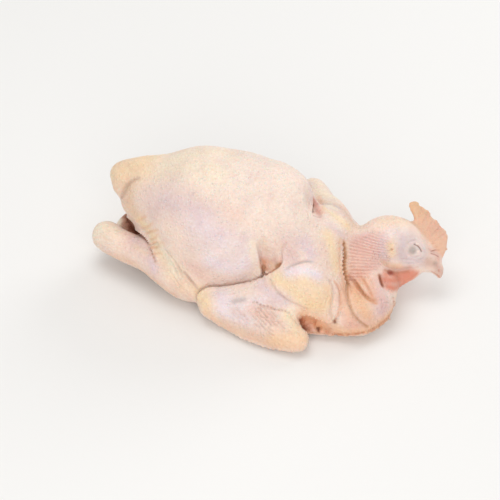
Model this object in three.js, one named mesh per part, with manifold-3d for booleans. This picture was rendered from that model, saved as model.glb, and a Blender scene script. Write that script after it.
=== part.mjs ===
// A whole raw chicken with its head on, plucked and without feet, lying on its breast.
// The legs are folded back under the tail, the wings lie half spread beside the body, and the
// neck leaves the shoulders, turns back on itself in a hairpin and carries the head on its side.
//
// Millimetres. +X runs from the tail to the head, +Y to the bird's left and +Z up. The origin is
// on the surface that the bird lies on, under the middle of its bounding box.
//
// The bird is one piece of flesh and skin, so it is one solid. Each muscle, bone or lobe is a
// "lump" that has two things: a plain three.js mesh of about its shape, and a distance field, which
// is negative inside. The meshes are joined by a Boolean union, and the points of the union then
// slide onto the surface where the blended fields are zero. That rounds the places where a limb
// grows out of the body, and leaves a crease where one part only presses on another.
import * as THREE from "three";
import { mergeVertices } from "three/addons/utils/BufferGeometryUtils.js";
import Module from "manifold-3d";

const wasm = await Module();
wasm.setup();

// ---------------------------------------------------------------- driving dimensions

const BACK_RADIUS = 52; // of the body at the hips
const KNEE_RADIUS = 21;
const SHANK_RADIUS = 12.5; // the thin part of the drumstick
const ELBOW_RADIUS = 12.7;
const NECK_RADIUS = 17;
const SKULL = [27, 19.3, 15.5]; // half its length, height and width
const COMB_THICKNESS = 6;
const COMB_WIDTH = 13; // of the widest point, seen from the side
const WEB_THICKNESS = 14; // the skin that fills each wing between the upper arm and the forearm

// How many millimetres each meeting of two lumps is rounded over. A small value leaves a crease.
const SOFT = {
  torso: 14,
  tail: 5,
  rump: 9,
  thigh: 8,
  leg: 4,
  neck: 16,
  fold: 6,
  hairpin: 5,
  collar: 6,
  wing: 7,
  face: 5,
  comb: 3,
  points: 3.5,
  wattle: 3,
  head: 6,
};

// Shortest triangle edges on the head, on the limbs and on the back.
const EDGE = { head: 1.35, limb: 3.5, back: 4.8 };

const LEFT = 1;
const RIGHT = -1;

// ---------------------------------------------------------------- the fields

const mix = (a, b, t) => a + (b - a) * t;
const clamp01 = (t) => Math.min(1, Math.max(0, t));

// The smaller of two distances, rounded off where they are within `soft` of each other.
function blend(a, b, soft) {
  const h = Math.max(soft - Math.abs(a - b), 0) / soft;
  return Math.min(a, b) - (h * h * soft) / 4;
}

// Far from a lump, the distance to a ball round it is near enough, and quicker to work out.
const FAR = 25;

function bounded(field, centre, radius) {
  const [cx, cy, cz] = centre;
  return (x, y, z) => {
    const away = Math.hypot(x - cx, y - cy, z - cz) - radius;
    return away > FAR ? away : field(x, y, z);
  };
}

// An ellipsoid. `axes` is a Matrix4 that turns its own axes into the bird's.
function ellipsoid(at, half, axes = new THREE.Matrix4(), detail = 10) {
  const place = axes.clone().setPosition(...at);
  const back = place.clone().invert().elements;
  const [a, b, c] = half;
  const field = (x, y, z) => {
    const u = (back[0] * x + back[4] * y + back[8] * z + back[12]) / a;
    const v = (back[1] * x + back[5] * y + back[9] * z + back[13]) / b;
    const w = (back[2] * x + back[6] * y + back[10] * z + back[14]) / c;
    const k0 = Math.hypot(u, v, w);
    const k1 = Math.hypot(u / a, v / b, w / c);
    return k1 < 1e-9 ? -Math.min(a, b, c) : (k0 * (k0 - 1)) / k1;
  };
  const mesh = new THREE.IcosahedronGeometry(1, detail).scale(a, b, c).applyMatrix4(place);
  return { field: bounded(field, at, Math.max(a, b, c)), mesh };
}

// A tapering tube with round ends along a smooth curve through `stations`, each [x, y, z, radius].
// `flat` makes it thinner along the direction `across`.
function limb(stations, { flat = 1, across = [0, 0, 1], sides = 14, step = 7 } = {}) {
  const curve = new THREE.CatmullRomCurve3(
    stations.map(([x, y, z]) => new THREE.Vector3(x, y, z)),
    false,
    "centripetal",
  );
  const n = new THREE.Vector3(...across).normalize();
  const pieces = stations.length - 1;
  const count = Math.max(pieces * 3, Math.ceil(curve.getLength() / step));
  const points = [];
  for (let i = 0; i <= count; i++) {
    const t = i / count;
    const at = curve.getPoint(t);
    const k = Math.min(pieces - 1, Math.floor(t * pieces));
    const s = t * pieces - k;
    const radius = mix(stations[k][3], stations[k + 1][3], s * s * (3 - 2 * s));
    points.push({ at, radius });
  }

  // Distances are measured in a space stretched along `across`, where the tube is round.
  const stretch = 1 / flat - 1;
  const stretched = points.map(({ at, radius }) => {
    const lift = at.dot(n) * stretch;
    return [at.x + n.x * lift, at.y + n.y * lift, at.z + n.z * lift, radius];
  });
  const field = (px, py, pz) => {
    const lift = (px * n.x + py * n.y + pz * n.z) * stretch;
    const x = px + n.x * lift;
    const y = py + n.y * lift;
    const z = pz + n.z * lift;
    let best = Infinity;
    for (let i = 0; i < count; i++) {
      const [ax, ay, az, ar] = stretched[i];
      const [bx, by, bz, br] = stretched[i + 1];
      const dx = bx - ax;
      const dy = by - ay;
      const dz = bz - az;
      const along = (x - ax) * dx + (y - ay) * dy + (z - az) * dz;
      const t = clamp01(along / (dx * dx + dy * dy + dz * dz));
      const away = Math.hypot(x - ax - dx * t, y - ay - dy * t, z - az - dz * t);
      best = Math.min(best, away - mix(ar, br, t));
    }
    return best * mix(1, flat, 0.5);
  };
  const mesh = tubeMesh(points, curve, n, flat, sides);
  mesh.computeBoundingSphere();
  const { center, radius } = mesh.boundingSphere;
  return { field: bounded(field, center.toArray(), radius), mesh };
}

// The limb's own mesh: rings round the curve, with rings that shrink over each round end.
function tubeMesh(points, curve, n, flat, sides) {
  const rings = [];
  const ends = [-0.97, -0.8, -0.45];
  const first = points[0];
  const last = points[points.length - 1];
  const start = curve.getTangent(0);
  const finish = curve.getTangent(1);
  for (const e of ends) {
    const at = first.at.clone().addScaledVector(start, e * first.radius);
    rings.push({ at, radius: first.radius * Math.sqrt(1 - e * e), along: start });
  }
  points.forEach((p, i) => {
    rings.push({ ...p, along: curve.getTangent(i / (points.length - 1)) });
  });
  for (const e of [...ends].reverse()) {
    const at = last.at.clone().addScaledVector(finish, -e * last.radius);
    rings.push({ at, radius: last.radius * Math.sqrt(1 - e * e), along: finish });
  }

  const vertices = [];
  let up = new THREE.Vector3(0.31, 0.17, 0.93);
  for (const { at, radius, along } of rings) {
    const side = new THREE.Vector3().crossVectors(along, up).normalize();
    up = new THREE.Vector3().crossVectors(side, along).normalize();
    for (let i = 0; i < sides; i++) {
      const angle = (2 * Math.PI * i) / sides;
      const off = side.clone().multiplyScalar(Math.cos(angle) * radius);
      off.addScaledVector(up, Math.sin(angle) * radius);
      off.addScaledVector(n, off.dot(n) * (flat - 1));
      vertices.push(at.clone().add(off));
    }
  }
  const tail = vertices.length;
  vertices.push(first.at.clone().addScaledVector(start, -first.radius));
  vertices.push(last.at.clone().addScaledVector(finish, last.radius));

  const faces = [];
  for (let r = 0; r < rings.length - 1; r++) {
    for (let i = 0; i < sides; i++) {
      const j = (i + 1) % sides;
      const a = r * sides + i;
      const b = r * sides + j;
      faces.push(a, a + sides, b, b, a + sides, b + sides);
    }
  }
  const top = (rings.length - 1) * sides;
  for (let i = 0; i < sides; i++) {
    const j = (i + 1) % sides;
    faces.push(tail, i, j);
    faces.push(tail + 1, top + j, top + i);
  }
  const geometry = new THREE.BufferGeometry().setFromPoints(vertices);
  geometry.setIndex(faces);
  return geometry;
}

// A thin web of skin stretched over three corners, `thickness` thick.
function web(a, b, c, thickness) {
  const [A, B, C] = [a, b, c].map((p) => new THREE.Vector3(...p));
  const half = thickness / 2;
  const triangle = new THREE.Triangle(A, B, C);
  const point = new THREE.Vector3();
  const nearest = new THREE.Vector3();
  const field = (x, y, z) => {
    triangle.closestPointToPoint(point.set(x, y, z), nearest);
    return nearest.distanceTo(point) - half;
  };
  const normal = triangle.getNormal(new THREE.Vector3());
  const vertices = [];
  for (const lift of [-half, half]) {
    for (const p of [A, B, C]) vertices.push(p.clone().addScaledVector(normal, lift));
  }
  const faces = [3, 4, 5, 0, 2, 1];
  for (let i = 0; i < 3; i++) {
    const j = (i + 1) % 3;
    faces.push(i, j, i + 3, j, j + 3, i + 3);
  }
  const geometry = new THREE.BufferGeometry().setFromPoints(vertices);
  geometry.setIndex(faces);
  return { field, mesh: geometry };
}

// Several lumps as one, blended over `soft` millimetres.
function group(lumps, soft) {
  const fields = lumps.map((l) => l.field);
  return {
    meshes: lumps.flatMap((l) => l.meshes ?? [l.mesh]),
    field: (x, y, z) => fields.reduce((d, f) => blend(d, f(x, y, z), soft), 1e3),
  };
}

// ---------------------------------------------------------------- the bird

function torso() {
  const R = BACK_RADIUS;
  const trunk = limb([
    [-77, 0, 62, 0.5 * R],
    [-60, 0, 60, 0.73 * R],
    [-44, 0, 60, 0.85 * R],
    [-24, 0, 64, 0.97 * R],
    [2, 0, 65, 0.97 * R],
    [20, 0, 70, 0.87 * R],
    [38, 0, 82, 0.62 * R],
    [53, -13, 70, 0.45 * R],
    [70, -10, 56, 0.44 * R],
  ], { sides: 34, step: 7 });
  const breast = ellipsoid([6, 0, 32], [68, 0.7 * R, 38], undefined, 9);
  const crop = ellipsoid([60, -6, 34], [35, 0.65 * R, 30], undefined, 7);
  const shoulders = limb([[58, -16, 54, 21], [71, 4, 54, 19], [76, 20, 48, 14.5]], { sides: 20 });
  return group([trunk, breast, crop, shoulders], SOFT.torso);
}

// The stub of the tail, with the fold of skin over the vent under it.
function tail() {
  const stub = limb([
    [-52, 0, 77, 27],
    [-76, 0, 81, 20],
    [-92, -1, 78, 17.5],
    [-101, 1, 77, 13],
  ], { flat: 0.8, sides: 18, step: 6 });
  const vent = limb([[-84, 0, 68, 15], [-97, 1, 67, 10.5], [-102.5, 1, 61, 7.5]], { sides: 16, step: 5 });
  return group([stub, vent], SOFT.rump);
}

// `side` is LEFT or RIGHT. The left leg is tucked further under the body than the right one.
function leg(side) {
  const reach = side === RIGHT ? 1 : 0.55;
  const y = (out) => side * out;
  const thigh = ellipsoid([-12, y(33), 57], [51, 27, 38], turned(0, 8, 0), 9);
  const shank = limb([
    [20, y(28), 36, KNEE_RADIUS - 5],
    [0, y(36), 30, KNEE_RADIUS - 4],
    [-21, y(45), 19.5, KNEE_RADIUS],
    [-45, y(mix(36, 43, reach)), mix(20, 24.5, reach), 17],
    [-62, y(mix(26, 40, reach)), mix(18, 26.5, reach), 13],
    [-85, y(mix(8, 34, reach)), mix(12, 25, reach), SHANK_RADIUS],
    [mix(-91, -107, reach), y(mix(-27, 27, reach)), mix(-1, 27, reach), mix(11, SHANK_RADIUS + 1, reach)],
  ], { sides: 16 });
  return group([thigh, shank], SOFT.thigh);
}

// The right wing lies flat, with its elbow back beside the thigh. The left wing is raised, with its
// elbow out to the side.
function wing(side) {
  const bones =
    side === RIGHT
      ? {
          upper: [[72, -32, 43, 18], [55, -42, 31, 15], [38, -51, 22.5, 12.8], [4.5, -62.5, 14.5, ELBOW_RADIUS]],
          fore: [[4.5, -62.5, 14.5, ELBOW_RADIUS], [44, -70, 12, 12], [82, -76, 11, 10.2]],
          hand: [[80, -78, 9.3, 9], [60, -79, 8, 9], [35, -75, 8, 9.5], [17, -68, 9, 9.5]],
          shoulder: { at: [84, -34, 26], half: [20, 24, 25] },
          front: [[79, -22, 44, 16], [76, -36, 36, 15]],
          wrist: [70, -74, 11], // where the web of skin ends, short of the forearm's own end
        }
      : {
          upper: [[82, 26, 46, 15], [62, 55, 42, 11.5], [42, 85, 34, ELBOW_RADIUS - 2]],
          fore: [[42, 85, 34, ELBOW_RADIUS - 2], [64, 73, 24, 9.5], [88, 60, 14, 10]],
          hand: [[88, 58, 11, 9], [77, 63, 10, 9], [63, 69, 13, 8.5]],
          shoulder: { at: [80, 24, 33], half: [20, 21, 25] },
          front: [[83, 12, 58.5, 13.5], [78, 34, 50.5, 12.5], [67, 55, 43, 11]],
          wrist: [88, 60, 14],
        };
  const [upper, fore] = [limb(bones.upper), limb(bones.fore)];
  const hand = limb(bones.hand, { sides: 12 });
  const corners = [bones.upper[0].slice(0, 3), bones.fore[0].slice(0, 3), bones.wrist];
  const skin = web(...corners, WEB_THICKNESS);
  const shoulder = ellipsoid(bones.shoulder.at, bones.shoulder.half, undefined, 6);
  const front = limb(bones.front);
  return group([upper, fore, hand, skin, shoulder, front], SOFT.wing);
}

// The neck comes out low and forward, bends to the left round its own throat, and comes back up.
function neckOut() {
  return limb([
    [56, -6, 54, 27],
    [69, -8, 50, 24],
    [79, -8, 40, 17.5],
    [92, -23, 27, 15.5],
    [109, -41, 16, NECK_RADIUS - 1.5],
    [121, -43, 14.5, NECK_RADIUS - 3.5],
    [130, -36, 12.5, NECK_RADIUS - 6.5],
  ], { sides: 22, step: 5 });
}

// Loose skin at the front of the chest sags to the surface that the bird lies on. Its torn edge
// runs back from there to the tip of the right wing.
function chestFold() {
  const fold = limb([[84, -24, 36, 14], [91, -40, 20, 13], [95, -48, 9.5, 11]], { sides: 18, step: 5 });
  const torn = limb([[94, -49, 9.5, 9.5], [86, -54, 9, 8.5], [75, -58, 9, 8]], { sides: 14, step: 5 });
  return group([fold, torn], SOFT.fold);
}

function neckBack() {
  return limb([
    [126, -30, 17, NECK_RADIUS - 1],
    [129.5, -22, 20, NECK_RADIUS + 1],
    [124.5, -4, 25, NECK_RADIUS + 2.5],
    [113, 8.5, 31.5, NECK_RADIUS + 3],
    [108.5, 24, 33.5, NECK_RADIUS - 0.5],
  ], { sides: 22, step: 5 });
}

// The skin between the shoulders and the neck where it comes back.
function collar() {
  return limb([[92, 21, 44, 10], [96.5, 9, 47, 10.5], [100, -3, 39, 10]], { sides: 16, step: 5 });
}

// The head lies with its right cheek up. Its own axes are forward to the beak, up to the comb, and
// out of the right cheek.
const HEAD_AT = [143.7, 32, 43.5];
const HEAD_FORWARD = new THREE.Vector3(0.96, 0.11, -0.258).normalize();
const CHEEK = new THREE.Vector3(0.258, -0.709, 0.656);
const HEAD_RIGHT = CHEEK.addScaledVector(HEAD_FORWARD, -CHEEK.dot(HEAD_FORWARD)).normalize();
const HEAD_UP = new THREE.Vector3().crossVectors(HEAD_RIGHT, HEAD_FORWARD);
const HEAD_AXES = new THREE.Matrix4().makeBasis(HEAD_FORWARD, HEAD_UP, HEAD_RIGHT);

const onHead = (forward, up, out = 0) =>
  new THREE.Vector3(forward, up, out)
    .applyMatrix4(HEAD_AXES)
    .add(new THREE.Vector3(...HEAD_AT))
    .toArray();

// A limb beside the head's middle plane, `out` from it, with stations [forward, up, radius].
const headLimb = (stations, { out = 0, ...options }) =>
  limb(
    stations.map(([f, u, r]) => [...onHead(f, u, out), r]),
    { across: HEAD_RIGHT.toArray(), ...options },
  );

function head() {
  const skull = ellipsoid(onHead(-13, 0), SKULL, HEAD_AXES, 8);
  const nape = headLimb([[-12, -3, 18], [-30, -8.5, 15.5]], { sides: 18, step: 6 });
  const cheeks = ellipsoid(onHead(6, -8), [18, 12, 12.5], HEAD_AXES, 6);
  const beak = headLimb(
    [[12, -5, 10], [21, -7.5, 8.5], [27.5, -10, 6], [32, -14.5, 3.6], [34.2, -18.3, 1.9]],
    { sides: 14, step: 3.2, flat: 0.8 },
  );
  const eyes = [LEFT, RIGHT].map((s) => ellipsoid(onHead(8, -1, s * 10), [6, 5.5, 5], HEAD_AXES, 4));
  const throat = ellipsoid(onHead(-2, -20), [18, 12, 10], HEAD_AXES, 5);
  return group([skull, nape, cheeks, beak, ...eyes, throat], SOFT.face);
}

// The comb's points, from the back of the head to the beak, each [root, middle, tip].
const COMB_POINTS = [
  [[9, 12, 6], [2.5, 22, 5.6], [-8, 32.5, 5]],
  [[12, 11, 6], [8, 22, 5.5], [3.5, 31, 3.4]],
  [[16, 9, 6], [16, 19, 5], [14.5, 27, 2.8]],
  [[19, 7, 6], [22.5, 14.5, 5], [23.5, 20.5, 3]],
  [[22, 4, 5.5], [26, 9.5, 4.6], [27.5, 14.5, 2.6]],
  [[24, 0, 5], [26.5, 2, 4.6], [28, 6, 3]],
];

function comb() {
  const flat = COMB_THICKNESS / COMB_WIDTH;
  const points = COMB_POINTS.map((point) => headLimb(point, { flat, sides: 12, step: 4 }));
  return group(points, SOFT.points);
}

function wattles() {
  const outline = [[6.5, -17.5, 6], [0.5, -27, 9.5], [-5, -32, 9.5]];
  const flaps = [LEFT, RIGHT].map((s) => headLimb(outline, { out: s * 4, flat: 0.36, step: 4 }));
  return group(flaps, SOFT.wattle);
}

// ---------------------------------------------------------------- helpers for the bird

function turned(x, y, z) {
  const d = THREE.MathUtils.degToRad;
  return new THREE.Matrix4().makeRotationFromEuler(new THREE.Euler(d(x), d(y), d(z)));
}

// ---------------------------------------------------------------- joining and smoothing

function toSolid(geometry) {
  const bare = new THREE.BufferGeometry().setAttribute("position", geometry.getAttribute("position"));
  if (geometry.index) bare.setIndex(geometry.index);
  const merged = mergeVertices(bare, 1e-4);
  return new wasm.Manifold(
    new wasm.Mesh({
      numProp: 3,
      vertProperties: merged.attributes.position.array,
      triVerts: new Uint32Array(merged.index.array),
    }),
  );
}

function toGeometry(solid) {
  const mesh = solid.getMesh();
  const geometry = new THREE.BufferGeometry();
  geometry.setAttribute("position", new THREE.BufferAttribute(new Float32Array(mesh.vertProperties), 3));
  geometry.setIndex(new THREE.BufferAttribute(new Uint32Array(mesh.triVerts), 1));
  return geometry;
}

// The direction in which a field grows fastest, which is outwards. It is as long as the slope is steep.
const PROBE = 0.2; // the distance over which a field's slope is measured

function slopeOf(field, x, y, z) {
  const e = PROBE;
  return [
    (field(x + e, y, z) - field(x - e, y, z)) / (2 * e),
    (field(x, y + e, z) - field(x, y - e, z)) / (2 * e),
    (field(x, y, z + e) - field(x, y, z - e)) / (2 * e),
  ];
}

// Evens out the points of a mesh and slides them onto the surface where the field is zero.
const LONGEST_MOVE = 4;
const LEAST_SLOPE = 0.45;

function relax(geometry, field, rounds) {
  const at = geometry.getAttribute("position");
  const index = geometry.index.array;
  const neighbours = Array.from({ length: at.count }, () => new Set());
  for (let i = 0; i < index.length; i += 3) {
    for (let k = 0; k < 3; k++) {
      neighbours[index[i + k]].add(index[i + ((k + 1) % 3)]);
      neighbours[index[i + k]].add(index[i + ((k + 2) % 3)]);
    }
  }
  const around = neighbours.map((set) => [...set]);
  const p = Float64Array.from(at.array);
  const settle = (i) => {
    const [x, y, z] = [p[3 * i], p[3 * i + 1], p[3 * i + 2]];
    const [gx, gy, gz] = slopeOf(field, x, y, z);
    const slope = Math.max(Math.hypot(gx, gy, gz), LEAST_SLOPE);
    const move = THREE.MathUtils.clamp(field(x, y, z), -LONGEST_MOVE, LONGEST_MOVE) / slope ** 2;
    p[3 * i] -= gx * move;
    p[3 * i + 1] -= gy * move;
    p[3 * i + 2] -= gz * move;
  };
  for (let round = 0; round < rounds; round++) {
    const q = p.slice();
    for (let i = 0; i < at.count; i++) {
      const list = around[i];
      for (let k = 0; k < 3; k++) {
        let sum = 0;
        for (const j of list) sum += p[3 * j + k];
        q[3 * i + k] = mix(p[3 * i + k], sum / list.length, 0.5);
      }
    }
    p.set(q);
    for (let i = 0; i < at.count; i++) settle(i);
  }
  for (let i = 0; i < at.count; i++) settle(i);
  at.array.set(p);
  at.needsUpdate = true;
  return geometry;
}

// Merges the ends of each edge that is shorter than `shortest(point)`, unless that would pinch the
// surface, turn a triangle over or turn it away from the field's outward direction. A triangle that
// lay folded under may turn back, which undoes the folds that the union leaves in narrow slots.
const SHARPEST_FOLD = 0.3; // the cosine between a triangle's direction and the field's
const LEAST_AREA = 1e-3; // twice a triangle's area, in square millimetres
const COARSEN_ROUNDS = 6;

function coarsen(geometry, field, shortest) {
  const at = geometry.getAttribute("position").array;
  const point = (i) => new THREE.Vector3(at[3 * i], at[3 * i + 1], at[3 * i + 2]);
  const points = Array.from({ length: at.length / 3 }, (_, i) => point(i));
  const faces = [];
  const facesOf = points.map(() => new Set());
  for (let i = 0; i < geometry.index.count; i += 3) {
    const face = [...geometry.index.array.slice(i, i + 3)];
    face.forEach((v) => facesOf[v].add(faces.length));
    faces.push(face);
  }
  const around = (v) => new Set([...facesOf[v]].flatMap((f) => faces[f]).filter((w) => w !== v));
  const normal = (a, b, c) => {
    const side = new THREE.Vector3().subVectors(c, a);
    return new THREE.Vector3().subVectors(b, a).cross(side);
  };
  const turnedAway = (n, out) => n.dot(out) < SHARPEST_FOLD * n.length();
  const folds = (v, other, to, out) =>
    [...facesOf[v]].some((f) => {
      if (faces[f].includes(other)) return false;
      const before = normal(...faces[f].map((w) => points[w]));
      const after = normal(...faces[f].map((w) => (w === v ? to : points[w])));
      if (after.length() < LEAST_AREA) return true;
      const turned = turnedAway(after, before.clone().normalize());
      const folded = turnedAway(after, out);
      return turnedAway(before, out) ? folded && turned : folded || turned;
    });
  const merge = (a, b) => {
    const middle = points[a].clone().add(points[b]).multiplyScalar(0.5);
    const ofA = around(a);
    const shared = [...around(b)].filter((w) => ofA.has(w));
    if (shared.length !== 2) return false;
    const out = new THREE.Vector3(...slopeOf(field, ...middle.toArray())).normalize();
    if (folds(a, b, middle, out) || folds(b, a, middle, out)) return false;
    for (const f of [...facesOf[b]]) {
      if (faces[f].includes(a)) {
        faces[f].forEach((w) => facesOf[w].delete(f));
        faces[f] = null;
      } else {
        faces[f] = faces[f].map((w) => (w === b ? a : w));
        facesOf[a].add(f);
      }
    }
    facesOf[b].clear();
    points[a] = middle;
    return true;
  };

  for (let round = 0; round < COARSEN_ROUNDS; round++) {
    const edges = [];
    faces.forEach((face) => {
      if (!face) return;
      face.forEach((a, k) => {
        const b = face[(k + 1) % 3];
        if (a > b) return;
        const length = points[a].distanceTo(points[b]);
        if (length < shortest(points[a])) edges.push([length, a, b]);
      });
    });
    edges.sort((p, q) => p[0] - q[0]);
    let merged = 0;
    for (const [, a, b] of edges) {
      if (!around(a).has(b)) continue;
      if (points[a].distanceTo(points[b]) >= shortest(points[a])) continue;
      if (merge(a, b)) merged += 1;
    }
    if (!merged) break;
  }

  const kept = new Map();
  const vertices = [];
  const index = faces.filter(Boolean).flatMap((face) =>
    face.map((v) => {
      if (!kept.has(v)) {
        kept.set(v, vertices.length);
        vertices.push(points[v]);
      }
      return kept.get(v);
    }),
  );
  const coarse = new THREE.BufferGeometry().setFromPoints(vertices);
  coarse.setIndex(new THREE.BufferAttribute(new Uint32Array(index), 1));
  return coarse;
}

// ---------------------------------------------------------------- assembly

const trunk = torso();
const rump = tail();
const legs = [leg(RIGHT), leg(LEFT)];
const wings = { [RIGHT]: wing(RIGHT), [LEFT]: wing(LEFT) };
const neckAway = neckOut();
const fold = chestFold();
const neckHome = neckBack();
const throatSkin = collar();
const skull = head();
const crest = comb();
const lappets = wattles();

// At the shoulder a wing runs smoothly into the body. Further out it only rests against it.
const SHOULDER = new THREE.Vector3(76, 28, 46);
const SHOULDER_REACH = [10, 40];
const SHOULDER_SOFT = { [RIGHT]: 22, [LEFT]: 18 };
const RESTING_SOFT = 1.5;

function wingSoftness(side, x, y, z) {
  const away = Math.hypot(x - SHOULDER.x, side * y - SHOULDER.y, z - SHOULDER.z);
  const [near, far] = SHOULDER_REACH;
  return mix(SHOULDER_SOFT[side], RESTING_SOFT, clamp01((away - near) / (far - near)));
}

function birdField(x, y, z) {
  let body = blend(trunk.field(x, y, z), rump.field(x, y, z), SOFT.tail);
  for (const l of legs) body = blend(body, l.field(x, y, z), SOFT.leg);
  body = blend(body, neckAway.field(x, y, z), SOFT.neck);
  body = blend(body, fold.field(x, y, z), SOFT.fold);
  for (const side of [RIGHT, LEFT]) {
    body = blend(body, wings[side].field(x, y, z), wingSoftness(side, x, y, z));
  }
  body = blend(body, throatSkin.field(x, y, z), SOFT.collar);
  body = blend(body, neckHome.field(x, y, z), SOFT.hairpin);
  let face = blend(skull.field(x, y, z), crest.field(x, y, z), SOFT.comb);
  face = blend(face, lappets.field(x, y, z), SOFT.wattle);
  return blend(body, face, SOFT.head);
}

const parts = [
  trunk, rump, ...legs, wings[RIGHT], wings[LEFT], neckAway, fold, throatSkin, neckHome, skull,
  crest, lappets,
];
const meshes = parts.flatMap((part) => part.meshes ?? [part.mesh]);
const union = meshes.map(toSolid).reduce((whole, solid) => whole.add(solid));

// The edges are long on the back, shorter on the limbs, and shortest on the head and comb.
const FACE_POINT = new THREE.Vector3(...onHead(8, 6));
const FACE_REACH = [30, 52];
const BACK = { halfWidth: 48, front: 60, bottom: 34 };

function shortestEdge(p) {
  const onBack = Math.abs(p.y) < BACK.halfWidth && p.x < BACK.front && p.z > BACK.bottom;
  const [near, far] = FACE_REACH;
  const away = clamp01((p.distanceTo(FACE_POINT) - near) / (far - near));
  return mix(EDGE.head, onBack ? EDGE.back : EDGE.limb, away);
}

const rough = coarsen(relax(toGeometry(union), birdField, 3), birdField, () => EDGE.head);
const even = relax(rough, birdField, 6);
const flesh = relax(coarsen(even, birdField, shortestEdge), birdField, 6);

// What sags below the surface that the bird lies on is cut off flat, so that it rests.
const SURFACE = { width: 600, depth: 200 };
const surface = new THREE.BoxGeometry(SURFACE.width, SURFACE.width, SURFACE.depth);
surface.translate(0, 0, -SURFACE.depth / 2);
const resting = toGeometry(toSolid(flesh).subtract(toSolid(surface)));

// The lumps are placed from a point under the hips. The finished bird is moved so that its
// origin is under the middle of its bounding box.
resting.computeBoundingBox();
const middle = resting.boundingBox.getCenter(new THREE.Vector3());
resting.translate(-middle.x, -middle.y, 0);

const skin = new THREE.MeshStandardMaterial({ color: 0xf0dccb, roughness: 0.5, metalness: 0 });
const chicken = new THREE.Mesh(resting, skin);
chicken.name = "chicken";

const bird = new THREE.Group();
bird.add(chicken);
export default bird;
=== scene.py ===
# %% [markdown]
# # A whole raw chicken
#
# A plucked chicken lies on its breast with its head still on. The legs are folded back, one wing
# lies flat, the other is raised, and the neck turns back on itself. It is one piece of flesh under
# one skin, so the looks are made as one mesh that grows out of the CAD solid.
#
# The work goes in the order in which a sculptor would go: an even, smooth skin first, then the
# large folds, then the small ones, and the colours last, painted on the points of the mesh.

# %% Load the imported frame
import math

import bmesh
import bpy
import numpy as np
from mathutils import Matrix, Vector
from mathutils.bvhtree import BVHTree


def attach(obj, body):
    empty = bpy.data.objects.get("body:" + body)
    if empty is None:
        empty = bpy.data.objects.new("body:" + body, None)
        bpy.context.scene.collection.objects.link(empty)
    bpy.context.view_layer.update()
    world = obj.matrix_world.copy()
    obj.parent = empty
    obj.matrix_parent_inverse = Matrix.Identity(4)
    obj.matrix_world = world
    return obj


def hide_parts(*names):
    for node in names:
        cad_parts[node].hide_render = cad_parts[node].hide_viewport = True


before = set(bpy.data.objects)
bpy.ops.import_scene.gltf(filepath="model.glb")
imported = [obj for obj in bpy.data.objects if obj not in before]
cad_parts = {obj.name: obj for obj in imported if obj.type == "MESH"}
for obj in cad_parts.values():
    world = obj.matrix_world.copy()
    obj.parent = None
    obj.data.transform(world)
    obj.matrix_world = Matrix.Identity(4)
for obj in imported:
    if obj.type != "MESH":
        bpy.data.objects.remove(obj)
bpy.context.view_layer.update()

# %% [markdown]
# ## The camera
#
# Many folds are easiest to place by where they fall in the finished picture: a line is drawn in
# picture coordinates and thrown on to the skin along the camera's rays. So the camera comes first.
# A long lens from far away keeps the bird's proportions honest. From close by, the head would look
# too large.

# %% Place the camera
MM = 0.001
HIPS = Vector((-27.95, -4.53, 0.0))  # millimetres, on the floor under the hips
HIPS_PIXEL = (235, 269)  # where that point falls in a picture of 500 by 500
PICTURE = 500
AZIMUTH = math.radians(20)
ELEVATION = math.radians(41)
DISTANCE = 1553.0
LENS = 130.0
SENSOR = 36.0

towards_camera = Vector((
    math.sin(AZIMUTH) * math.cos(ELEVATION),
    -math.cos(AZIMUTH) * math.cos(ELEVATION),
    math.sin(ELEVATION),
))
lens = bpy.data.cameras.new("camera")
lens.lens = LENS
lens.sensor_width = SENSOR
lens.shift_x = (PICTURE / 2 - HIPS_PIXEL[0]) / PICTURE
lens.shift_y = (HIPS_PIXEL[1] - PICTURE / 2) / PICTURE
camera = bpy.data.objects.new("camera", lens)
bpy.context.scene.collection.objects.link(camera)
eye = HIPS + towards_camera * DISTANCE
camera.location = eye * MM
camera.rotation_euler = towards_camera.to_track_quat("Z", "Y").to_euler()
bpy.context.scene.camera = camera

picture_right = Vector((math.cos(AZIMUTH), math.sin(AZIMUTH), 0.0))
picture_up = towards_camera.cross(picture_right)
print("camera at", [round(c) for c in eye], "mm")

# %% [markdown]
# ## An even skin over the solid
#
# The solid has long triangles on the back and short ones on the head. A sculpted surface wants
# points at even distances, so the copy is rebuilt by a voxel remesh. A few rounds of smoothing
# then melt the facets away. The wings, the neck and the head carry finer folds than the back, so
# their faces are split once, and those of the face, the comb and the finest wrinkles twice. That
# way the points are spent where they show.

# %% Copy the solid and remesh it
SKIN_STEP = 2.25  # millimetres between points on the body
MERGE_WITHIN = 0.01  # millimetres


def merged_copy(node, name):
    """A new object with the node's mesh, its doubled points merged."""
    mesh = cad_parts[node].data.copy()
    shape = bmesh.new()
    shape.from_mesh(mesh)
    bmesh.ops.remove_doubles(shape, verts=shape.verts, dist=MERGE_WITHIN * MM)
    shape.to_mesh(mesh)
    shape.free()
    mesh.materials.clear()
    piece = bpy.data.objects.new(name, mesh)
    bpy.context.scene.collection.objects.link(piece)
    return piece


def apply_modifiers(piece):
    """Bakes a piece's modifiers into its mesh."""
    shown = piece.evaluated_get(bpy.context.evaluated_depsgraph_get())
    mesh = bpy.data.meshes.new_from_object(shown)
    piece.modifiers.clear()
    piece.data = mesh


skin = merged_copy("chicken", "chicken_skin")
solid_tree = BVHTree.FromPolygons(
    [v.co / MM for v in skin.data.vertices],
    [p.vertices[:] for p in skin.data.polygons],
)
even = skin.modifiers.new("even", "REMESH")
even.mode = "VOXEL"
even.voxel_size = SKIN_STEP * MM
apply_modifiers(skin)
print("remeshed skin:", len(skin.data.vertices), "points")

# %% Read and write the points as arrays, in millimetres


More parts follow.
